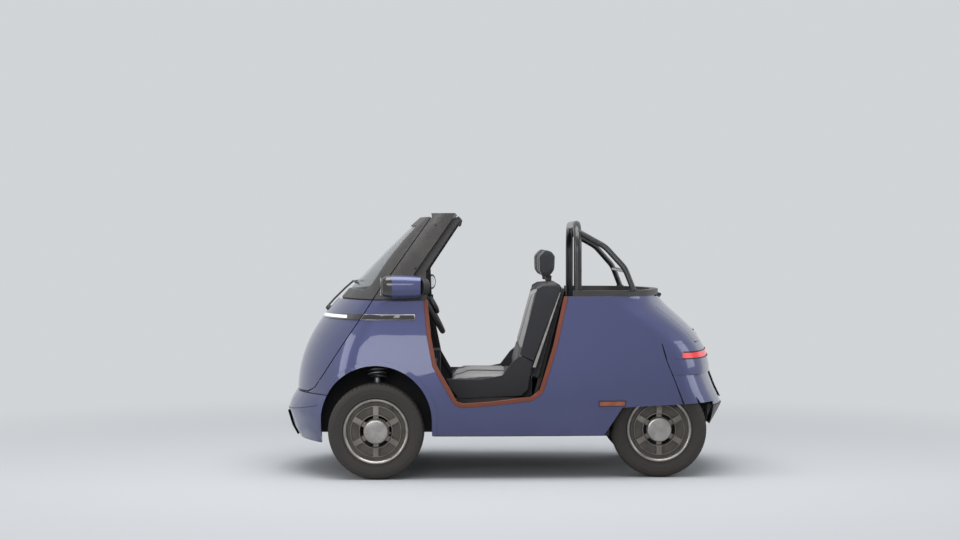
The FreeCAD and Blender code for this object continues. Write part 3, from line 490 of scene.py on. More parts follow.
def tube(points, radius, name, body, slot, finish=None):
    """A round bar along points."""
    curve = bpy.data.curves.new(name, "CURVE")
    curve.dimensions = "3D"
    curve.bevel_depth = radius
    curve.bevel_resolution = 2
    curve.use_fill_caps = True
    spline = curve.splines.new("POLY")
    spline.points.add(len(points) - 1)
    for knot, point in zip(spline.points, points):
        knot.co = (*point, 1)
    shape = bpy.data.objects.new(name, curve)
    bm = bmesh.new()
    bm.from_mesh(shape.to_mesh())
    bpy.data.objects.remove(shape)
    return made_piece(bm, name, body, slot, [finish or slot])


def rubber_line(points, radius, name):
    """A line of dark rubber on the fixed body."""
    return tube(points, radius, name, "root", "black_trim", "dark_rubber")


def bolt(place, normal, size, name):
    """Domed bolt head on its washer, on the fixed body."""
    profile = [(0, size * 1.25), (size * 0.2, size * 1.25), (size * 0.22, size), (size * 0.6, size * 0.9),
               (size * 0.8, size * 0.5), (size * 0.55, size * 0.4), (size * 0.5, 0)]
    return made_piece(spun(profile, place, normal, 18), name, "root", "dark_steel")


class MICROCAR_OT_panels(bpy.types.Operator):
    """Painted and plastic outer panels with rounded edges and a dark lining inside"""
    bl_idname = "microcar.panels"
    bl_label = "Outer panels"

    painted = ("side_panel_left", "side_panel_right", "front_door", "tail_lower", "tail_top", "tailgate")
    plain = ("front_bumper", "windscreen_surround", "screen_frame", "rear_belt_trim", "rear_bumper",
             "rear_valance", "roll_hoop", "hoop_braces", "hoop_cross_bar", "steering_column",
             "steering_wheel", "seat_frame")
    # A pod's faces behind this X are rubber.
    pod_back = 0.4635
    edge_angle = math.radians(24)

    def execute(self, context):
        edge = sizes().edge
        for node in self.painted:
            self.panel(node, edge, ["body_paint", "lining"], lambda face: outward(face) < -0.25)
        for node in self.plain:
            self.panel(node, edge)
        for _, word in SIDES:
            self.panel("lamp_pod_" + word, edge, ["body_paint", "dark_rubber"],
                       lambda face: face.calc_center_median().x < self.pod_back)
        self.panel("door_seals", 0.002, ["seal", "dark_rubber"], lambda face: outward(face) < -0.3)
        self.panel("windscreen")
        return {"FINISHED"}

    def panel(self, node, edge=None, finishes=None, is_second=None):
        """Shows a node with its edges eased; some of its faces may have a second finish."""
        bm = node_bmesh(node)
        if is_second:
            for face in bm.faces:
                face.material_index = int(is_second(face))
        piece = as_piece(bm, node + "_skin", body_of(node), slot_of(node), finishes, self.edge_angle)
        if edge:
            rounded(piece, edge)
        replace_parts(piece, node)


class MICROCAR_OT_plain_nodes(bpy.types.Operator):
    """Finishes for the nodes whose own mesh is shown"""
    bl_idname = "microcar.plain_nodes"
    bl_label = "Carried-over nodes"

    def execute(self, context):
        for row in frame["record"]["subparts"]:
            mesh = frame["nodes"][row["node"]].data
            mesh.materials.clear()
            mesh.materials.append(finish_of(row["material_slot"]))
        return {"FINISHED"}


class MICROCAR_OT_lamps(bpy.types.Operator):
    """Lamp strips, markers and lenses"""
    bl_idname = "microcar.lamps"
    bl_label = "Lamps"

    # How far a lit band or a lens sits behind its frame.
    step = 0.0008

    def execute(self, context):
        self.banded("light_strip", 0.0078, ["lamp_dark", "lamp_white"], 0.888)
        self.banded("tail_lamp", 0.0135, ["lamp_dark", "lamp_red"])
        self.framed("side_strips", 0.0024, ["lamp_dark", "bright_metal", "lamp_dark"])
        self.framed("side_markers", 0.0055, ["dark_rubber", "dark_rubber", "lamp_amber"])
        self.framed("lamp_lenses", 0.004, ["lamp_dark", "bright_metal", "lamp_dark"], FORE)
        self.framed("mirror_glasses", 0.006, ["dark_rubber", "dark_rubber", "mirror"], AFT)
        for side, word in SIDES:
            self.lens_rings(side, word)
        self.lips()
        return {"FINISHED"}

    def banded(self, node, half, finishes, front_of=-10.0):
        """A lit band at half height in a dark housing, ahead of an X."""
        bm = node_bmesh(node)
        low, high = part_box(node)
        middle = (low.z + high.z) / 2
        sliced(bm, (0, 0, middle - half), UP)
        sliced(bm, (0, 0, middle + half), UP)
        sliced(bm, (front_of, 0, 0), FORE)
        lit = []
        for face in bm.faces:
            at = face.calc_center_median()
            if abs(at.z - middle) < half and at.x > front_of and outward(face) > 0.2:
                lit.append(face)
                face.material_index = 1
        inset(bm, lit, self.step, -self.step)
        self.show(bm, node, finishes)

    def framed(self, node, width, finishes, way=None):
        """A lens set into a narrow frame; the finishes are those of the body, frame and lens."""
        bm = node_bmesh(node)
        shown = [face for face in bm.faces if (face.normal.dot(way) if way else outward(face)) > 0.5]
        for face in inset(bm, shown, width, -self.step):
            face.material_index = 1
        for face in shown:
            face.material_index = 2
        self.show(bm, node, finishes)

    def show(self, bm, node, finishes):
        """Shows the finished form in place of its node."""
        piece = as_piece(bm, node + "_lens", body_of(node), slot_of(node), finishes, math.radians(30))
        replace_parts(piece, node)

    def lens_rings(self, side, word):
        """Two lit rings on each headlamp's lens, one above the other."""
        low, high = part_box("lamp_lenses")
        middle, apart, sunk = (low.z + high.z) / 2, 0.03, 0.0006
        profile = [(0, 0.019), (0.0015, 0.019), (0.002, 0.0205), (0.0015, 0.022), (0, 0.022)]
        for row, z in enumerate((middle + apart, middle - apart)):
            place, normal = hit("lamp_lenses", (AHEAD, side * 0.68, z), AFT)
            ring = spun(profile, place - normal * sunk, normal, 36, closed=True)
            made_piece(ring, f"lamp_ring_{row}_{word}", "root", "lamp_white", ["lamp_ring"])

    def lips(self):
        """Dark lips above and below the tail lamp."""
        _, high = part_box("tail_lamp")
        centre, short = -0.5, 1.2
        first = math.degrees(math.atan2(high.y, high.x - centre)) + short
        for word, z in (("top", 0.6985), ("bottom", 0.662)):
            run = arc("tail_lamp", centre, first, 360 - first, steps=48, proud=0.001, z=z)
            rubber_line(run, 0.0034, "tail_lamp_lip_" + word)


class MICROCAR_OT_wheels(bpy.types.Operator):
    """Road tyres with tread, wheel covers, caps and valves"""
    bl_idname = "microcar.wheels"
    bl_label = "Wheels"

    # Half of the tyre's section, as (distance from the middle plane, radius), from the bead to the tread.
    shoulder = [(0.0535, 0.1683), (0.059, 0.1803), (0.063, 0.1835), (0.0672, 0.186), (0.0688, 0.189),
                (0.0675, 0.1925), (0.0695, 0.2), (0.0718, 0.21), (0.0724, 0.22), (0.0722, 0.23),
                (0.0728, 0.2325), (0.0719, 0.235), (0.0708, 0.243), (0.0685, 0.2495), (0.0645, 0.256),
                (0.0595, 0.261), (0.054, 0.264)]
    # Sections of what is added to the wheel, as (distance outwards, radius).
    lip = [(0.0605, 0.1645), (0.0665, 0.1699), (0.0675, 0.1718), (0.0675, 0.1745), (0.066, 0.176),
           (0.0655, 0.173)]
    cap = [(0.0655, 0.0662), (0.068, 0.0655), (0.0698, 0.063), (0.0708, 0.055), (0.0714, 0.036),
           (0.0717, 0.0)]
    stem = [(0.046, 0.004), (0.062, 0.0035), (0.062, 0.0045), (0.068, 0.0045), (0.069, 0)]

    def execute(self, context):
        for name in WHEELS:
            low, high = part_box("tyre_" + name)
            centre = (low + high) / 2
            way = Vector((0, 1 if centre.y > 0 else -1, 0))
            self.tyre(name, centre, way)
            self.cover(name, centre, way)
        for _, word in SIDES:
            self.gaiter(word)
        return {"FINISHED"}

    def tyre(self, name, centre, way):
        """Grooved tread with blocks cut into the shoulders and slits into the ribs."""
        depth = sizes().tread
        crown = [(0.0355, 0.2658), (0.0349, 0.2658 - depth), (0.0286, 0.2658 - depth), (0.028, 0.2661),
                 (0.0036, 0.2665), (0.003, 0.2665 - depth)]
        half = self.shoulder + crown
        profile = half + [(-along, radius) for along, radius in reversed(half)]
        bm = spun(profile, centre, way, TREAD_STEPS, closed=True)
        bmesh.ops.recalc_face_normals(bm, faces=bm.faces)
        blocks, ribs = [], []
        for face in bm.faces:
            offset = face.calc_center_median() - centre
            step = int(TREAD_STEPS * (math.atan2(offset.z, offset.x) / math.tau + 1))
            radius = math.hypot(offset.x, offset.z)
            block_step, rib_step = (0, 1) if offset.y > 0 else (2, 4)
            if 0.0355 < abs(offset.y) < 0.0645 and radius > 0.257 and step % 4 == block_step:
                blocks.append(face)
            elif 0.005 < abs(offset.y) < 0.028 and radius > 0.264 and step % 6 == rib_step:
                ribs.append(face)
        inset(bm, blocks, 0.0012, -depth * 0.8)
        inset(bm, ribs, 0.0022, -depth * 0.5)
        tyre = as_piece(bm, "tread_" + name, body_of("tyre_" + name), "tyre", smooth=math.radians(26))
        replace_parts(tyre, "tyre_" + name)

    def cover(self, name, centre, way):
        """The CAD wheel with eased edges, a bright flange lip, a domed cap and the valve."""
        body = body_of("rim_" + name)
        bm = node_bmesh("rim_" + name)
        for face in bm.faces:
            offset = face.calc_center_median() - centre
            radius = math.hypot(offset.x, offset.z)
            along = offset.dot(way)
            pocket = 0.0935 < radius < 0.1385 and along < 0.0525
            gutter = radius > 0.1445 and along < 0.05
            # Pocket floors and the gutter by the flange take the darker finish: painted shade in these
            # recesses.
            face.material_index = int(along > 0 and (pocket or gutter))
        skin = as_piece(bm, "cover_" + name, body, "wheel_cover", ["wheel_cover", "cover_pocket"],
                        math.radians(24))
        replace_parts(rounded(skin, 0.0016), "rim_" + name)
        turn, reach = 2.2, 0.152
        valve = centre + Vector((math.cos(turn), 0, math.sin(turn))) * reach
        for word, section, foot, steps, closed, finish in (
                ("flange_lip_", self.lip, centre, 120, True, "bright_metal"),
                ("cap_", self.cap, centre, 96, False, "bright_metal"),
                ("valve_", self.stem, valve, 16, False, "dark_rubber")):
            made_piece(spun(section, foot, way, steps, closed), word + name, body, "wheel_cover", [finish])

    def gaiter(self, word):
        """Ribbed gaiter and coil spring round a front damper."""
        foot, way = joint_of("steer_" + word)
        low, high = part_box("front_struts")
        start = (low.z + 0.004 - foot.z) / way.z
        end = (high.z - 0.008 - foot.z) / way.z
        folds = 7
        profile = [(start, 0.03)]
        for fold in range(folds):
            at = start + (end - start) * fold / folds
            profile += [(at, 0.0365), (at + (end - start) * 0.5 / folds, 0.0425)]
        profile += [(end, 0.0365), (end, 0.03)]
        made_piece(spun(profile, foot, way, 40), "gaiter_" + word, "root", "dark_steel", ["dark_rubber"])
        across = way.cross(FORE).normalized()
        other = way.cross(across)
        turns, knots, radius = 3.6, 100, 0.0485
        coil = []
        for knot in range(knots + 1):
            along = start + (end - start) * (0.06 + 0.88 * knot / knots)
            turn = math.tau * turns * knot / knots
            coil.append(foot + way * along + (across * math.cos(turn) + other * math.sin(turn)) * radius)
        tube(coil, 0.006, "coil_" + word, "root", "dark_steel", "cast_metal")


# Side views of the bench's parts in (X, Z) metres, read from the photograph, and half its width.
BENCH_SIDE = [(0.332, 0.546), (0.304, 0.487), (0.264, 0.433), (-0.088, 0.45), (-0.125, 0.484), (-0.152, 0.64),
              (-0.078, 0.675), (-0.041, 0.645), (0.019, 0.566), (0.143, 0.543)]
BACK_SIDE = [(-0.08, 0.681), (-0.176, 1.05), (-0.208, 1.068), (-0.28, 1.07), (-0.306, 1.064), (-0.307, 1.04),
             (-0.158, 0.647)]
REAR_TRIM = [(-0.303, 1.03), (-0.309, 1.03), (-0.17, 0.61), (-0.151, 0.61)]
HEAD_EDGE = [(-0.206, 1.122), (-0.194, 1.152), (-0.192, 1.23), (-0.223, 1.262)]
NECK_SIDE = [(-0.264, 1.088), (-0.231, 1.088), (-0.229, 1.122), (-0.266, 1.122)]
BENCH_HALF = 0.52
NECK_Y, NECK_HALF, HEAD_OUTSIDE = 0.27, 0.045, 0.389


class MICROCAR_OT_seat(bpy.types.Operator):
    """Bench seat with padded faces, side shells, headrests and pale trim"""
    bl_idname = "microcar.seat"
    bl_label = "Seat"

    def execute(self, context):
        grid, fill = sizes().grid, sizes().fill
        cushion = self.padded("seat_cushion", grid, fill, lambda one: one.normal.z < -0.5 or one.co.x < -0.07)
        back = self.padded("backrest", grid, fill, lambda one: one.normal.x < -0.45 and one.normal.z < 0.5)
        self.sew(cushion, 0, 0.0, 0.30)
        self.sew(back, 2, 0.715, 1.03)
        self.padded("headrests", 0.0055, 0.0035, lambda one: False, (0, 0, 1.112))
        for side, word in SIDES:
            self.shell(BENCH_SIDE, side, 0.0006, 0.011, "bench_side_" + word, 0.004)
            self.shell(BACK_SIDE, side, 0.0006, 0.011, "backrest_side_" + word, 0.004)
            self.shell(REAR_TRIM, side, 0.0112, 0.0142, "seat_edge_trim_" + word, 0.001, "bright_metal")
            edge = [(x, side * HEAD_OUTSIDE, z) for x, z in HEAD_EDGE]
            tube(edge, 0.0018, "head_piping_" + word, "root", "seat_fabric", "seat_trim")
            neck = prism(NECK_SIDE, side * NECK_Y - NECK_HALF, side * NECK_Y + NECK_HALF)
            rounded(made_piece(neck, "head_neck_" + word, "root", "black_trim"), 0.006, 3)
        return {"FINISHED"}

    def shell(self, outline, side, inner, outer, name, edge, finish="seat_fabric"):
        """A flat part against the bench's end."""
        bm = prism(outline, side * (BENCH_HALF + inner), side * (BENCH_HALF + outer))
        rounded(made_piece(bm, name, "root", "seat_fabric", [finish]), edge, 3)

    def padded(self, node, grid, fill, is_held, above=None):
        """Draws the node's form in, fills it as a cloth cover and lets no point swell past the fill."""
        bm = node_bmesh(node)
        if above:
            sliced(bm, above, DOWN, clear_outer=True)
            bmesh.ops.holes_fill(bm, edges=[edge for edge in bm.edges if edge.is_boundary])
        covers = ["seat_fabric", "seat_trim"]
        piece = as_piece(bm, node + "_pad", body_of(node), slot_of(node), covers, math.pi)
        remesh = piece.modifiers.new("grid", "REMESH")
        remesh.mode = "VOXEL"
        remesh.voxel_size = grid
        self.apply(piece)
        points = piece.data.vertices
        held = [point.index for point in points if is_held(point)]
        loose = set(range(len(points))) - set(held)
        start = {index: points[index].co - points[index].normal * fill * 0.5 for index in loose}
        for index, place in start.items():
            points[index].co = place
        self.swell(piece, held, start, fill)
        smooth = piece.modifiers.new("round", "SUBSURF")
        smooth.levels = smooth.render_levels = 1
        self.apply(piece)
        for polygon in piece.data.polygons:
            polygon.use_smooth = True
        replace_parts(piece, node)
        return piece

    def swell(self, piece, held, start, fill):
        """Blows the cover up by cloth pressure, with its held points fixed."""
        scene = bpy.context.scene
        moments = 20
        piece.vertex_groups.new(name="held").add(held, 1.0, "REPLACE")
        cloth = piece.modifiers.new("fill", "CLOTH")
        cloth.settings.vertex_group_mass = "held"
        cloth.settings.use_pressure = True
        cloth.settings.uniform_pressure_force = 4
        cloth.settings.effector_weights.gravity = 0
        cloth.point_cache.frame_start = 1
        cloth.point_cache.frame_end = moments
        for moment in range(1, moments + 1):
            scene.frame_set(moment)
        solved = piece.evaluated_get(bpy.context.evaluated_depsgraph_get()).data
        places = {index: solved.vertices[index].co.copy() for index in start}
        piece.modifiers.remove(cloth)
        scene.frame_set(1)
        for index, place in places.items():
            swelling = place - start[index]
            share = min(1, fill / max(swelling.length, 1e-9))
            piece.data.vertices[index].co = start[index] + swelling * share

    def apply(self, piece):
        """Makes the modified form the piece's own mesh."""
        graph = bpy.context.evaluated_depsgraph_get()
        solved = bpy.data.meshes.new_from_object(piece.evaluated_get(graph))
        piece.modifiers.clear()
        piece.data = solved

    def sew(self, piece, along, start, end):
        """Sewn channels down the middle and round each place's pale insert, which runs along X or Z."""
        inner, outer, channel, border = 0.055, 0.455, 0.006, 0.002
        bm = bmesh.new()
        bm.from_mesh(piece.data)
        for vertex in bm.verts:
            if not self.is_shown(vertex, along):
                continue
            across, run = abs(vertex.co.y), vertex.co[along]
            seams = [across]
            seams += [across - inner, across - outer] if start < run < end else []
            seams += [run - start, run - end] if inner < across < outer else []
            nearest = min(abs(seam) for seam in seams)
            vertex.co -= vertex.normal * channel * math.exp(-(nearest / channel) ** 2)
        for face in bm.faces:
            at = face.calc_center_median()
            within = start + border < at[along] < end - border and inner + border < abs(at.y) < outer - border
            face.material_index = int(within and self.is_shown(face, along))
        bm.to_mesh(piece.data)
        bm.free()

    def is_shown(self, element, along):
        """Whether it looks up on the cushion, or forward on the backrest."""
        return element.normal.z > 0.5 if along == 0 else element.normal.x > 0.3


class MICROCAR_OT_fittings(bpy.types.Operator):
    """Wiper, bolts, blank plates and trim lines on the outside"""
    bl_idname = "microcar.fittings"
    bl_label = "Outer fittings"

    # How far inside the outer skin the middle of a seam's rubber lies.
    behind = 0.036
    # X of the upright line from which the front bumper's sweep is measured.
    sweep_x = 0.5
    # (X, Z) along the seam between body side and tail, and along the front door's free edge.
    tail_seam = ((-0.868, 0.74), (-0.88, 0.7), (-0.896, 0.653), (-0.944, 0.537), (-0.991, 0.42))
    door_seam = ((0.8, 0.9), (0.903, 0.752), (1.01, 0.591), (1.05, 0.533))

    def execute(self, context):
        self.wiper()
        for side, word in SIDES:
            self.bolts(side, word)
            self.seam_rubber("tail_seam_rubber_" + word, self.tail_seam, side, word, onto=0.03, radius=0.009)
        self.plate("front_bumper", 1, 0.198, 0.338, "front")
        self.plate("tail_lower", -1, 0.418, 0.57, "rear")
        self.bumper_crease_shadow()
        self.door_gasket()
        self.tail_handle()
        return {"FINISHED"}

    def wiper(self):
        """Arm from the nose to a blade that lies along the foot of the windscreen."""
        foot, normal = hit("front_door", (AHEAD, 0.0, 0.925), AFT)
        spindle = [(0, 0.017), (0.012, 0.017), (0.02, 0.013), (0.022, 0)]
        made_piece(spun(spindle, foot, normal, 28), "wiper_spindle", "front_door", "black_trim")
        steps, spacing = 6, 0.045
        blade = []
        for step in range(-steps, steps + 1):
            place, way = hit("windscreen", (AHEAD, step * spacing, 1.075), AFT)
            blade.append(place + way * 0.006)
        tube(blade, 0.0045, "wiper_blade", "front_door", "black_trim", "dark_rubber")
        spine = [point + Vector((0.004, 0, 0.005)) for point in blade[1:-1]]
        tube(spine, 0.004, "wiper_spine", "front_door", "black_trim")
        top = blade[steps] + Vector((0.007, 0, 0.008))
        start = foot + normal * 0.016
        arm = [start] + [start.lerp(top, share) + normal * 0.004 for share in (0.3, 0.7)] + [top]
        tube(arm, 0.0055, "wiper_arm", "front_door", "black_trim")

    def bumper_crease_shadow(self):
        """Dark rubber line sunk into the front bumper's crease: painted shadow of the crease."""
        run = arc("front_bumper", self.sweep_x, -46, 46, steps=40, proud=-0.0022, z=0.352, rise=0.048)
        rubber_line(run, 0.0034, "bumper_crease_shadow")

    def seam_rubber(self, name, seam, side, word, onto, radius, shift=0):
        """Rubber inside a body side, along a seam.

        The side's own skin is found a little off the seam, and the rubber may be shifted from it too.
        """
        run = []
        for x, z in seam:
            place, _ = hit("side_panel_" + word, (x + onto, side * BESIDE, z), (0, -side, 0))
            run.append(Vector((x + shift, place.y - side * self.behind, z)))
        rubber_line(run, radius, name)

    def door_gasket(self):
        """Rubber behind the front door's lower and free edges."""
        seam_z = 0.4635
        run = arc("front_bumper", self.sweep_x, -44, 44, steps=24, proud=-0.044, z=0.45)
        rubber_line([Vector((point.x, point.y, seam_z)) for point in run], 0.0095, "door_gasket_low")
        self.seam_rubber("door_gasket", self.door_seam, -1, "right", onto=-0.04, radius=0.0075, shift=-0.0105)

    def bolts(self, side, word):
        """Two on the windscreen's pillar and two on the hoop's foot."""
        for row, (x, z, size) in enumerate(((0.502, 1.168, 0.006), (0.392, 1.408, 0.005))):
            place, normal = hit("windscreen_surround", (x, side * BESIDE, z), (0, -side, 0))
            bolt(place, normal, size, f"pillar_bolt_{row}_{word}")
        for row, x in enumerate((-0.436, -0.372)):
            place, normal = hit("roll_hoop", (x, side * 0.52, 0.9), DOWN)
            bolt(place, normal, 0.007, f"hoop_bolt_{row}_{word}")

    def plate(self, node, end, low, high, word):
        """Blank plate on a dark holder; both bend only as the panel's middle does."""
        half, steps, bolt_row, face = 0.13, 10, 7, 0.005
        heights = [low + (high - low) * row / steps for row in range(steps + 1)]
        rows = [hit(node, (end * AHEAD, 0, z), (-end, 0, 0)) for z in heights]
        layers = (("holder", 0.0005, 0.0022, 0.003, "grip"), ("plate", 0.0024, face, 0, "plate"))
        for name, inner, outer, reach, finish in layers:
            outline = [place + normal * outer for place, normal in rows]
            outline += [place + normal * inner for place, normal in reversed(rows)]
            bm = prism([(point.x, point.z) for point in outline], -half - reach, half + reach)
            made_piece(bm, word + "_" + name, "root", "black_trim", [finish])
        place, normal = rows[bolt_row]
        for side, hand in SIDES:
            corner = place + normal * face + Vector((0, side * 0.09, 0))
            bolt(corner, normal, 0.0045, f"{word}_plate_bolt_{hand}")

    def tail_handle(self):
        """Pull handle and key disc on the tailgate."""
        handle_z, lock_z = 0.80, 0.778
        _, normal = hit("tailgate", (-AHEAD, 0.0, handle_z), FORE)
        lock, _ = hit("tailgate", (-AHEAD, 0.0, lock_z), FORE)
        run = []
        for y in (-0.07, -0.035, 0, 0.035, 0.07):
            place, _ = hit("tailgate", (-AHEAD, y, handle_z), FORE)
            run.append(place + normal * 0.003)
        run = [run[0] - normal * 0.006] + run + [run[-1] - normal * 0.006]
        tube(run, 0.0045, "tailgate_handle", "tailgate", "body_paint", "black_tube")
        disc = [(0, 0.012), (0.003, 0.012), (0.004, 0.0095), (0.003, 0.009), (0.003, 0)]
        made_piece(spun(disc, lock, normal, 28), "tailgate_lock", "tailgate", "body_paint", ["bright_metal"])


class MICROCAR_OT_cabin(bpy.types.Operator):
    """Steering wheel's pad, display, stalks, pedals, floor mat and door pull"""
    bl_idname = "microcar.cabin"
    bl_label = "Cabin"

    def execute(self, context):
        centre, way = joint_of("steering_wheel_turn")
        face = -way
        hub = [(0.004, 0.0), (0.004, 0.05), (0.012, 0.056), (0.024, 0.05), (0.03, 0.03), (0.031, 0.0)]
        made_piece(spun(hub, centre + face * 0.012, face, 48), "wheel_pad", "steering_wheel", "grip")
        self.controls(centre, way)
        self.pedals()
        self.mat()
        self.door_pull()
        return {"FINISHED"}

    def controls(self, centre, way):
        """Display with its hood, and the two stalks behind the steering wheel."""
        place, _ = hit("steering_column", (0.3, centre.y, 0.98), FORE)
        screen = place + Vector((-0.0016, 0, -0.015))
        self.slab((0.004, 0.144, 0.064), screen, "display", "grip", 0.0015, "screen")
        hood = Vector((place.x - 0.009, centre.y, 1.0084))
        self.slab((0.036, 0.172, 0.006), hood, "display_hood", "grip", 0.002)
        root = centre + way * 0.078
        for side, word in SIDES:
            bends = ((0.03, 0), (0.09, 0.006), (0.15, 0.018))
            run = [root + Vector((0, side * reach, rise)) for reach, rise in bends]
            tube(run, 0.0048, "stalk_" + word, "root", "grip")
            tube([run[1].lerp(run[2], 0.45), run[2]], 0.0075, "stalk_grip_" + word, "root", "grip")

    def door_pull(self):
        """Bar on the inside of the front door."""
        run = []
        for y, proud in ((-0.44, 0), (-0.39, 0.035), (-0.34, 0.035), (-0.29, 0.035), (-0.24, 0)):
            place, normal = hit("front_door", (0.6, y, 0.8), FORE)
            run.append(place + normal * proud)
        tube(run, 0.008, "door_pull", "front_door", "body_paint", "black_tube")

    def slab(self, size, place, name, slot, edge, finish=None, tilt=0):
        """Rounded block, tilted about the car's width before it is placed."""
        bm = bmesh.new()
        bmesh.ops.create_cube(bm, size=1.0)
        bmesh.ops.scale(bm, vec=size, verts=bm.verts)
        for vertex in bm.verts:
            x, z = vertex.co.x, vertex.co.z
            vertex.co.x = x * math.cos(tilt) - z * math.sin(tilt)
            vertex.co.z = x * math.sin(tilt) + z * math.cos(tilt)
        bmesh.ops.translate(bm, vec=place, verts=bm.verts)
        rounded(made_piece(bm, name, "root", slot, [finish or slot]), edge, 3)

    def pedals(self):
        """Two pads on bent arms that stand on the floor."""
        x, rise, tilt = 0.86, 0.105, 0.5
        for name, y, width in (("brake", 0.31, 0.07), ("drive", 0.215, 0.05)):
            floor, _ = hit("floor_tub", (x, y, 0.5), DOWN)
            pad = Vector((x, y, floor.z + rise))
            self.slab((0.012, width, 0.085), pad, name + "_pedal", "grip", 0.003, tilt=tilt)
            arm = [pad + Vector((0.006, 0, -0.03)), pad + Vector((0.03, 0, -0.07))]
            arm.append(Vector((pad.x + 0.035, y, floor.z)))
            tube(arm, 0.006, name + "_pedal_arm", "root", "dark_steel")

    def mat(self):
        """Ribbed rubber mat in the footwell."""
        x, y = 0.6, -0.1
        floor, _ = hit("floor_tub", (x, y, 0.5), DOWN)
        middle = Vector((x, y, floor.z + 0.0032))
        self.slab((0.42, 0.62, 0.006), middle, "floor_mat", "structure", 0.002, "dark_rubber")
        ribs, first, spacing = 14, 0.42, 0.0277
        places = [(first + row * spacing, y, floor.z + 0.0075) for row in range(ribs)]
        equal_boxes((0.012, 0.56, 0.003), places, "floor_mat_ribs", "structure", "dark_rubber")


class MICROCAR_OT_underside(bpy.types.Operator):
    """Ribs and bolts on the battery case, and fins on the drive unit"""
    bl_idname = "microcar.underside"
    bl_label = "Underside"

    def execute(self, context):
        low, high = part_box("battery_pack")
        ribs, end, middle = 7, 0.02, (low.x + high.x) / 2
        across = [low.y + (row + 0.5) * (high.y - low.y) / ribs for row in range(ribs)]
        places = [(middle, y, low.z - 0.0032) for y in across]
        size = (high.x - low.x - 2 * end, 0.02, 0.007)
        rounded(equal_boxes(size, places, "battery_ribs", "dark_steel"), 0.002)
        in_x, in_y, gaps = 0.03, 0.012, 3
        for side, word in SIDES:
            for row in range(gaps + 1):
                x = low.x + in_x + row * (high.x - low.x - 2 * in_x) / gaps
                place = Vector((x, side * (high.y - in_y), low.z))
                bolt(place, DOWN, 0.007, f"battery_bolt_{row}_{word}")
        self.drive_fins()
        return {"FINISHED"}

    def drive_fins(self):
        """Cooling fins round the back of the drive unit."""
        fins, first, spacing, z = 9, -0.12, 0.03, 0.27
        places = []
        for row in range(fins):
            y = first + row * spacing
            place, _ = hit("drive_unit", (-AHEAD, y, z), FORE)
            places.append((place.x - 0.006, y, z))
        rounded(equal_boxes((0.014, 0.006, 0.14), places, "drive_fins", "cast_metal"), 0.0015)


def area_light(name, place_at, aim, size, power):
    lamp = bpy.data.lights.new(name, "AREA")
    lamp.shape = "RECTANGLE"
    lamp.size, lamp.size_y = size
    lamp.energy = power
    piece = bpy.data.objects.new(name, lamp)
    piece.location = place_at
    piece.rotation_euler = (Vector(aim) - Vector(place_at)).to_track_quat("-Z", "Y").to_euler()
    bpy.context.scene.collection.objects.link(piece)


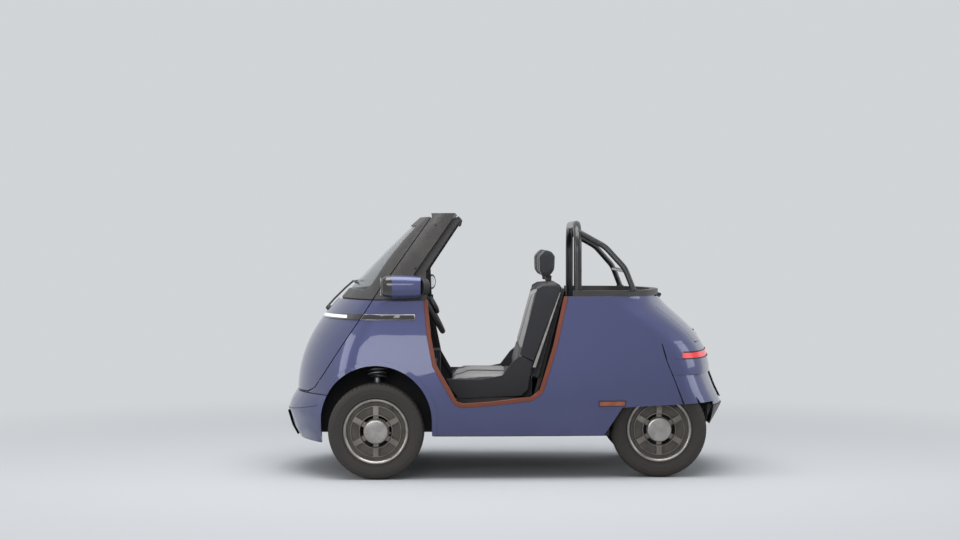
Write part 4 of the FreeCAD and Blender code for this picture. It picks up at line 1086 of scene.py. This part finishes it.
class MICROCAR_OT_stage(bpy.types.Operator):
    """Pale floor, soft studio light and the camera"""
    bl_idname = "microcar.stage"
    bl_label = "Stage"

    backdrop = (0.64, 0.66, 0.68)

    def execute(self, context):
        scene = context.scene
        scene.view_settings.view_transform = "Standard"
        self.floor(scene)
        self.sky(scene)
        area_light("overhead", (0.2, 0.9, 5.2), (0, 0, 0.6), (5.5, 3.6), 250)
        area_light("side_fill", (2.2, 8.0, 2.6), (0, 0, 0.6), (5.0, 2.2), 120)
        area_light("nose_light", (6.5, 2.0, 2.6), (0.6, 0, 0.6), (3.0, 3.0), 80)
        area_light("tail_light", (-6.5, 1.0, 3.0), (-0.6, 0, 0.6), (3.0, 3.0), 70)
        self.camera(scene)
        return {"FINISHED"}

    def floor(self, scene):
        """Lit near the car, and the plain backdrop farther off."""
        bm = bmesh.new()
        bmesh.ops.create_grid(bm, x_segments=1, y_segments=1, size=60.0)
        mesh = bpy.data.meshes.new("floor")
        bm.to_mesh(mesh)
        bm.free()
        floor = bpy.data.objects.new("floor", mesh)
        scene.collection.objects.link(floor)
        ground = Finish("pale_floor", base_color=(0.5, 0.515, 0.53), roughness=0.9)
        across = ground.add("ShaderNodeVectorMath", {"operation": "LENGTH"}, [ground.place]).outputs["Value"]
        plain = ground.add("ShaderNodeEmission", {}, [self.backdrop, 1.0])
        far = Term(ground, across).ramp(1.4, 5.5)
        ground.blend(ground.seen() * far, ground.surface.outputs[0], plain.outputs[0],
                     ground.tree.nodes["Material Output"].inputs[0])
        mesh.materials.append(ground.material)

    def sky(self, scene):
        """Soft light from above; the camera, mirrors and glass see the plain backdrop."""
        world = bpy.data.worlds.new("studio")
        world.use_nodes = True
        scene.world = world
        sky = Shader(world.node_tree)
        nodes = world.node_tree.nodes
        way = nodes["Texture Coordinate"].outputs["Generated"]
        split = sky.add("ShaderNodeSeparateXYZ", {}, [way])
        height = Term(sky, split.outputs[2]).ramp(-0.1, 0.7)
        lit = nodes["Background"]
        sky.feed(lit.inputs[0], sky.mix(height, (0.1, 0.105, 0.12), (0.6, 0.62, 0.65)))
        plain = sky.add("ShaderNodeBackground", {}, [self.backdrop, 1.0])
        sky.blend(sky.seen(), lit.outputs[0], plain.outputs[0], nodes["World Output"].inputs[0])

    def camera(self, scene):
        """The photo's side view: lens and tilt come from its scale and its horizon, 238 pixels down."""
        frame_width = 960
        frame_height = 540
        focal_pixels = 1996.4
        horizon = 238
        data = bpy.data.cameras.new("camera")
        data.sensor_width = 36.0
        data.lens = focal_pixels * data.sensor_width / frame_width
        camera = bpy.data.objects.new("camera", data)
        tilt = math.atan((frame_height / 2 - horizon) / focal_pixels)
        camera.location = (0.143, sizes().camera_y, 1.335)
        camera.rotation_euler = (math.pi / 2 - tilt, 0, math.pi)
        scene.collection.objects.link(camera)
        scene.camera = camera


class MICROCAR_PT_panel(bpy.types.Panel):
    """Buttons for the finishing steps"""
    bl_label = "Microcar"
    bl_space_type = "VIEW_3D"
    bl_region_type = "UI"
    bl_category = "Microcar"

    def draw(self, context):
        for operator in OPERATORS:
            self.layout.operator(operator.bl_idname)


OPERATORS = (
    MICROCAR_OT_stage,
    MICROCAR_OT_plain_nodes,
    MICROCAR_OT_panels,
    MICROCAR_OT_lamps,
    MICROCAR_OT_wheels,
    MICROCAR_OT_seat,
    MICROCAR_OT_fittings,
    MICROCAR_OT_cabin,
    MICROCAR_OT_underside,
)
CLASSES = (CarColours, CarSizes) + OPERATORS + (MICROCAR_PT_panel,)


def register():
    for one in CLASSES:
        bpy.utils.register_class(one)
    bpy.types.Scene.car_colours = PointerProperty(type=CarColours)
    bpy.types.Scene.car_sizes = PointerProperty(type=CarSizes)


def unregister():
    del bpy.types.Scene.car_sizes
    del bpy.types.Scene.car_colours
    for one in reversed(CLASSES):
        bpy.utils.unregister_class(one)


def main():
    register()
    for operator in OPERATORS:
        group, name = operator.bl_idname.split(".")
        getattr(getattr(bpy.ops, group), name)()


if __name__ == "__main__":
    main()
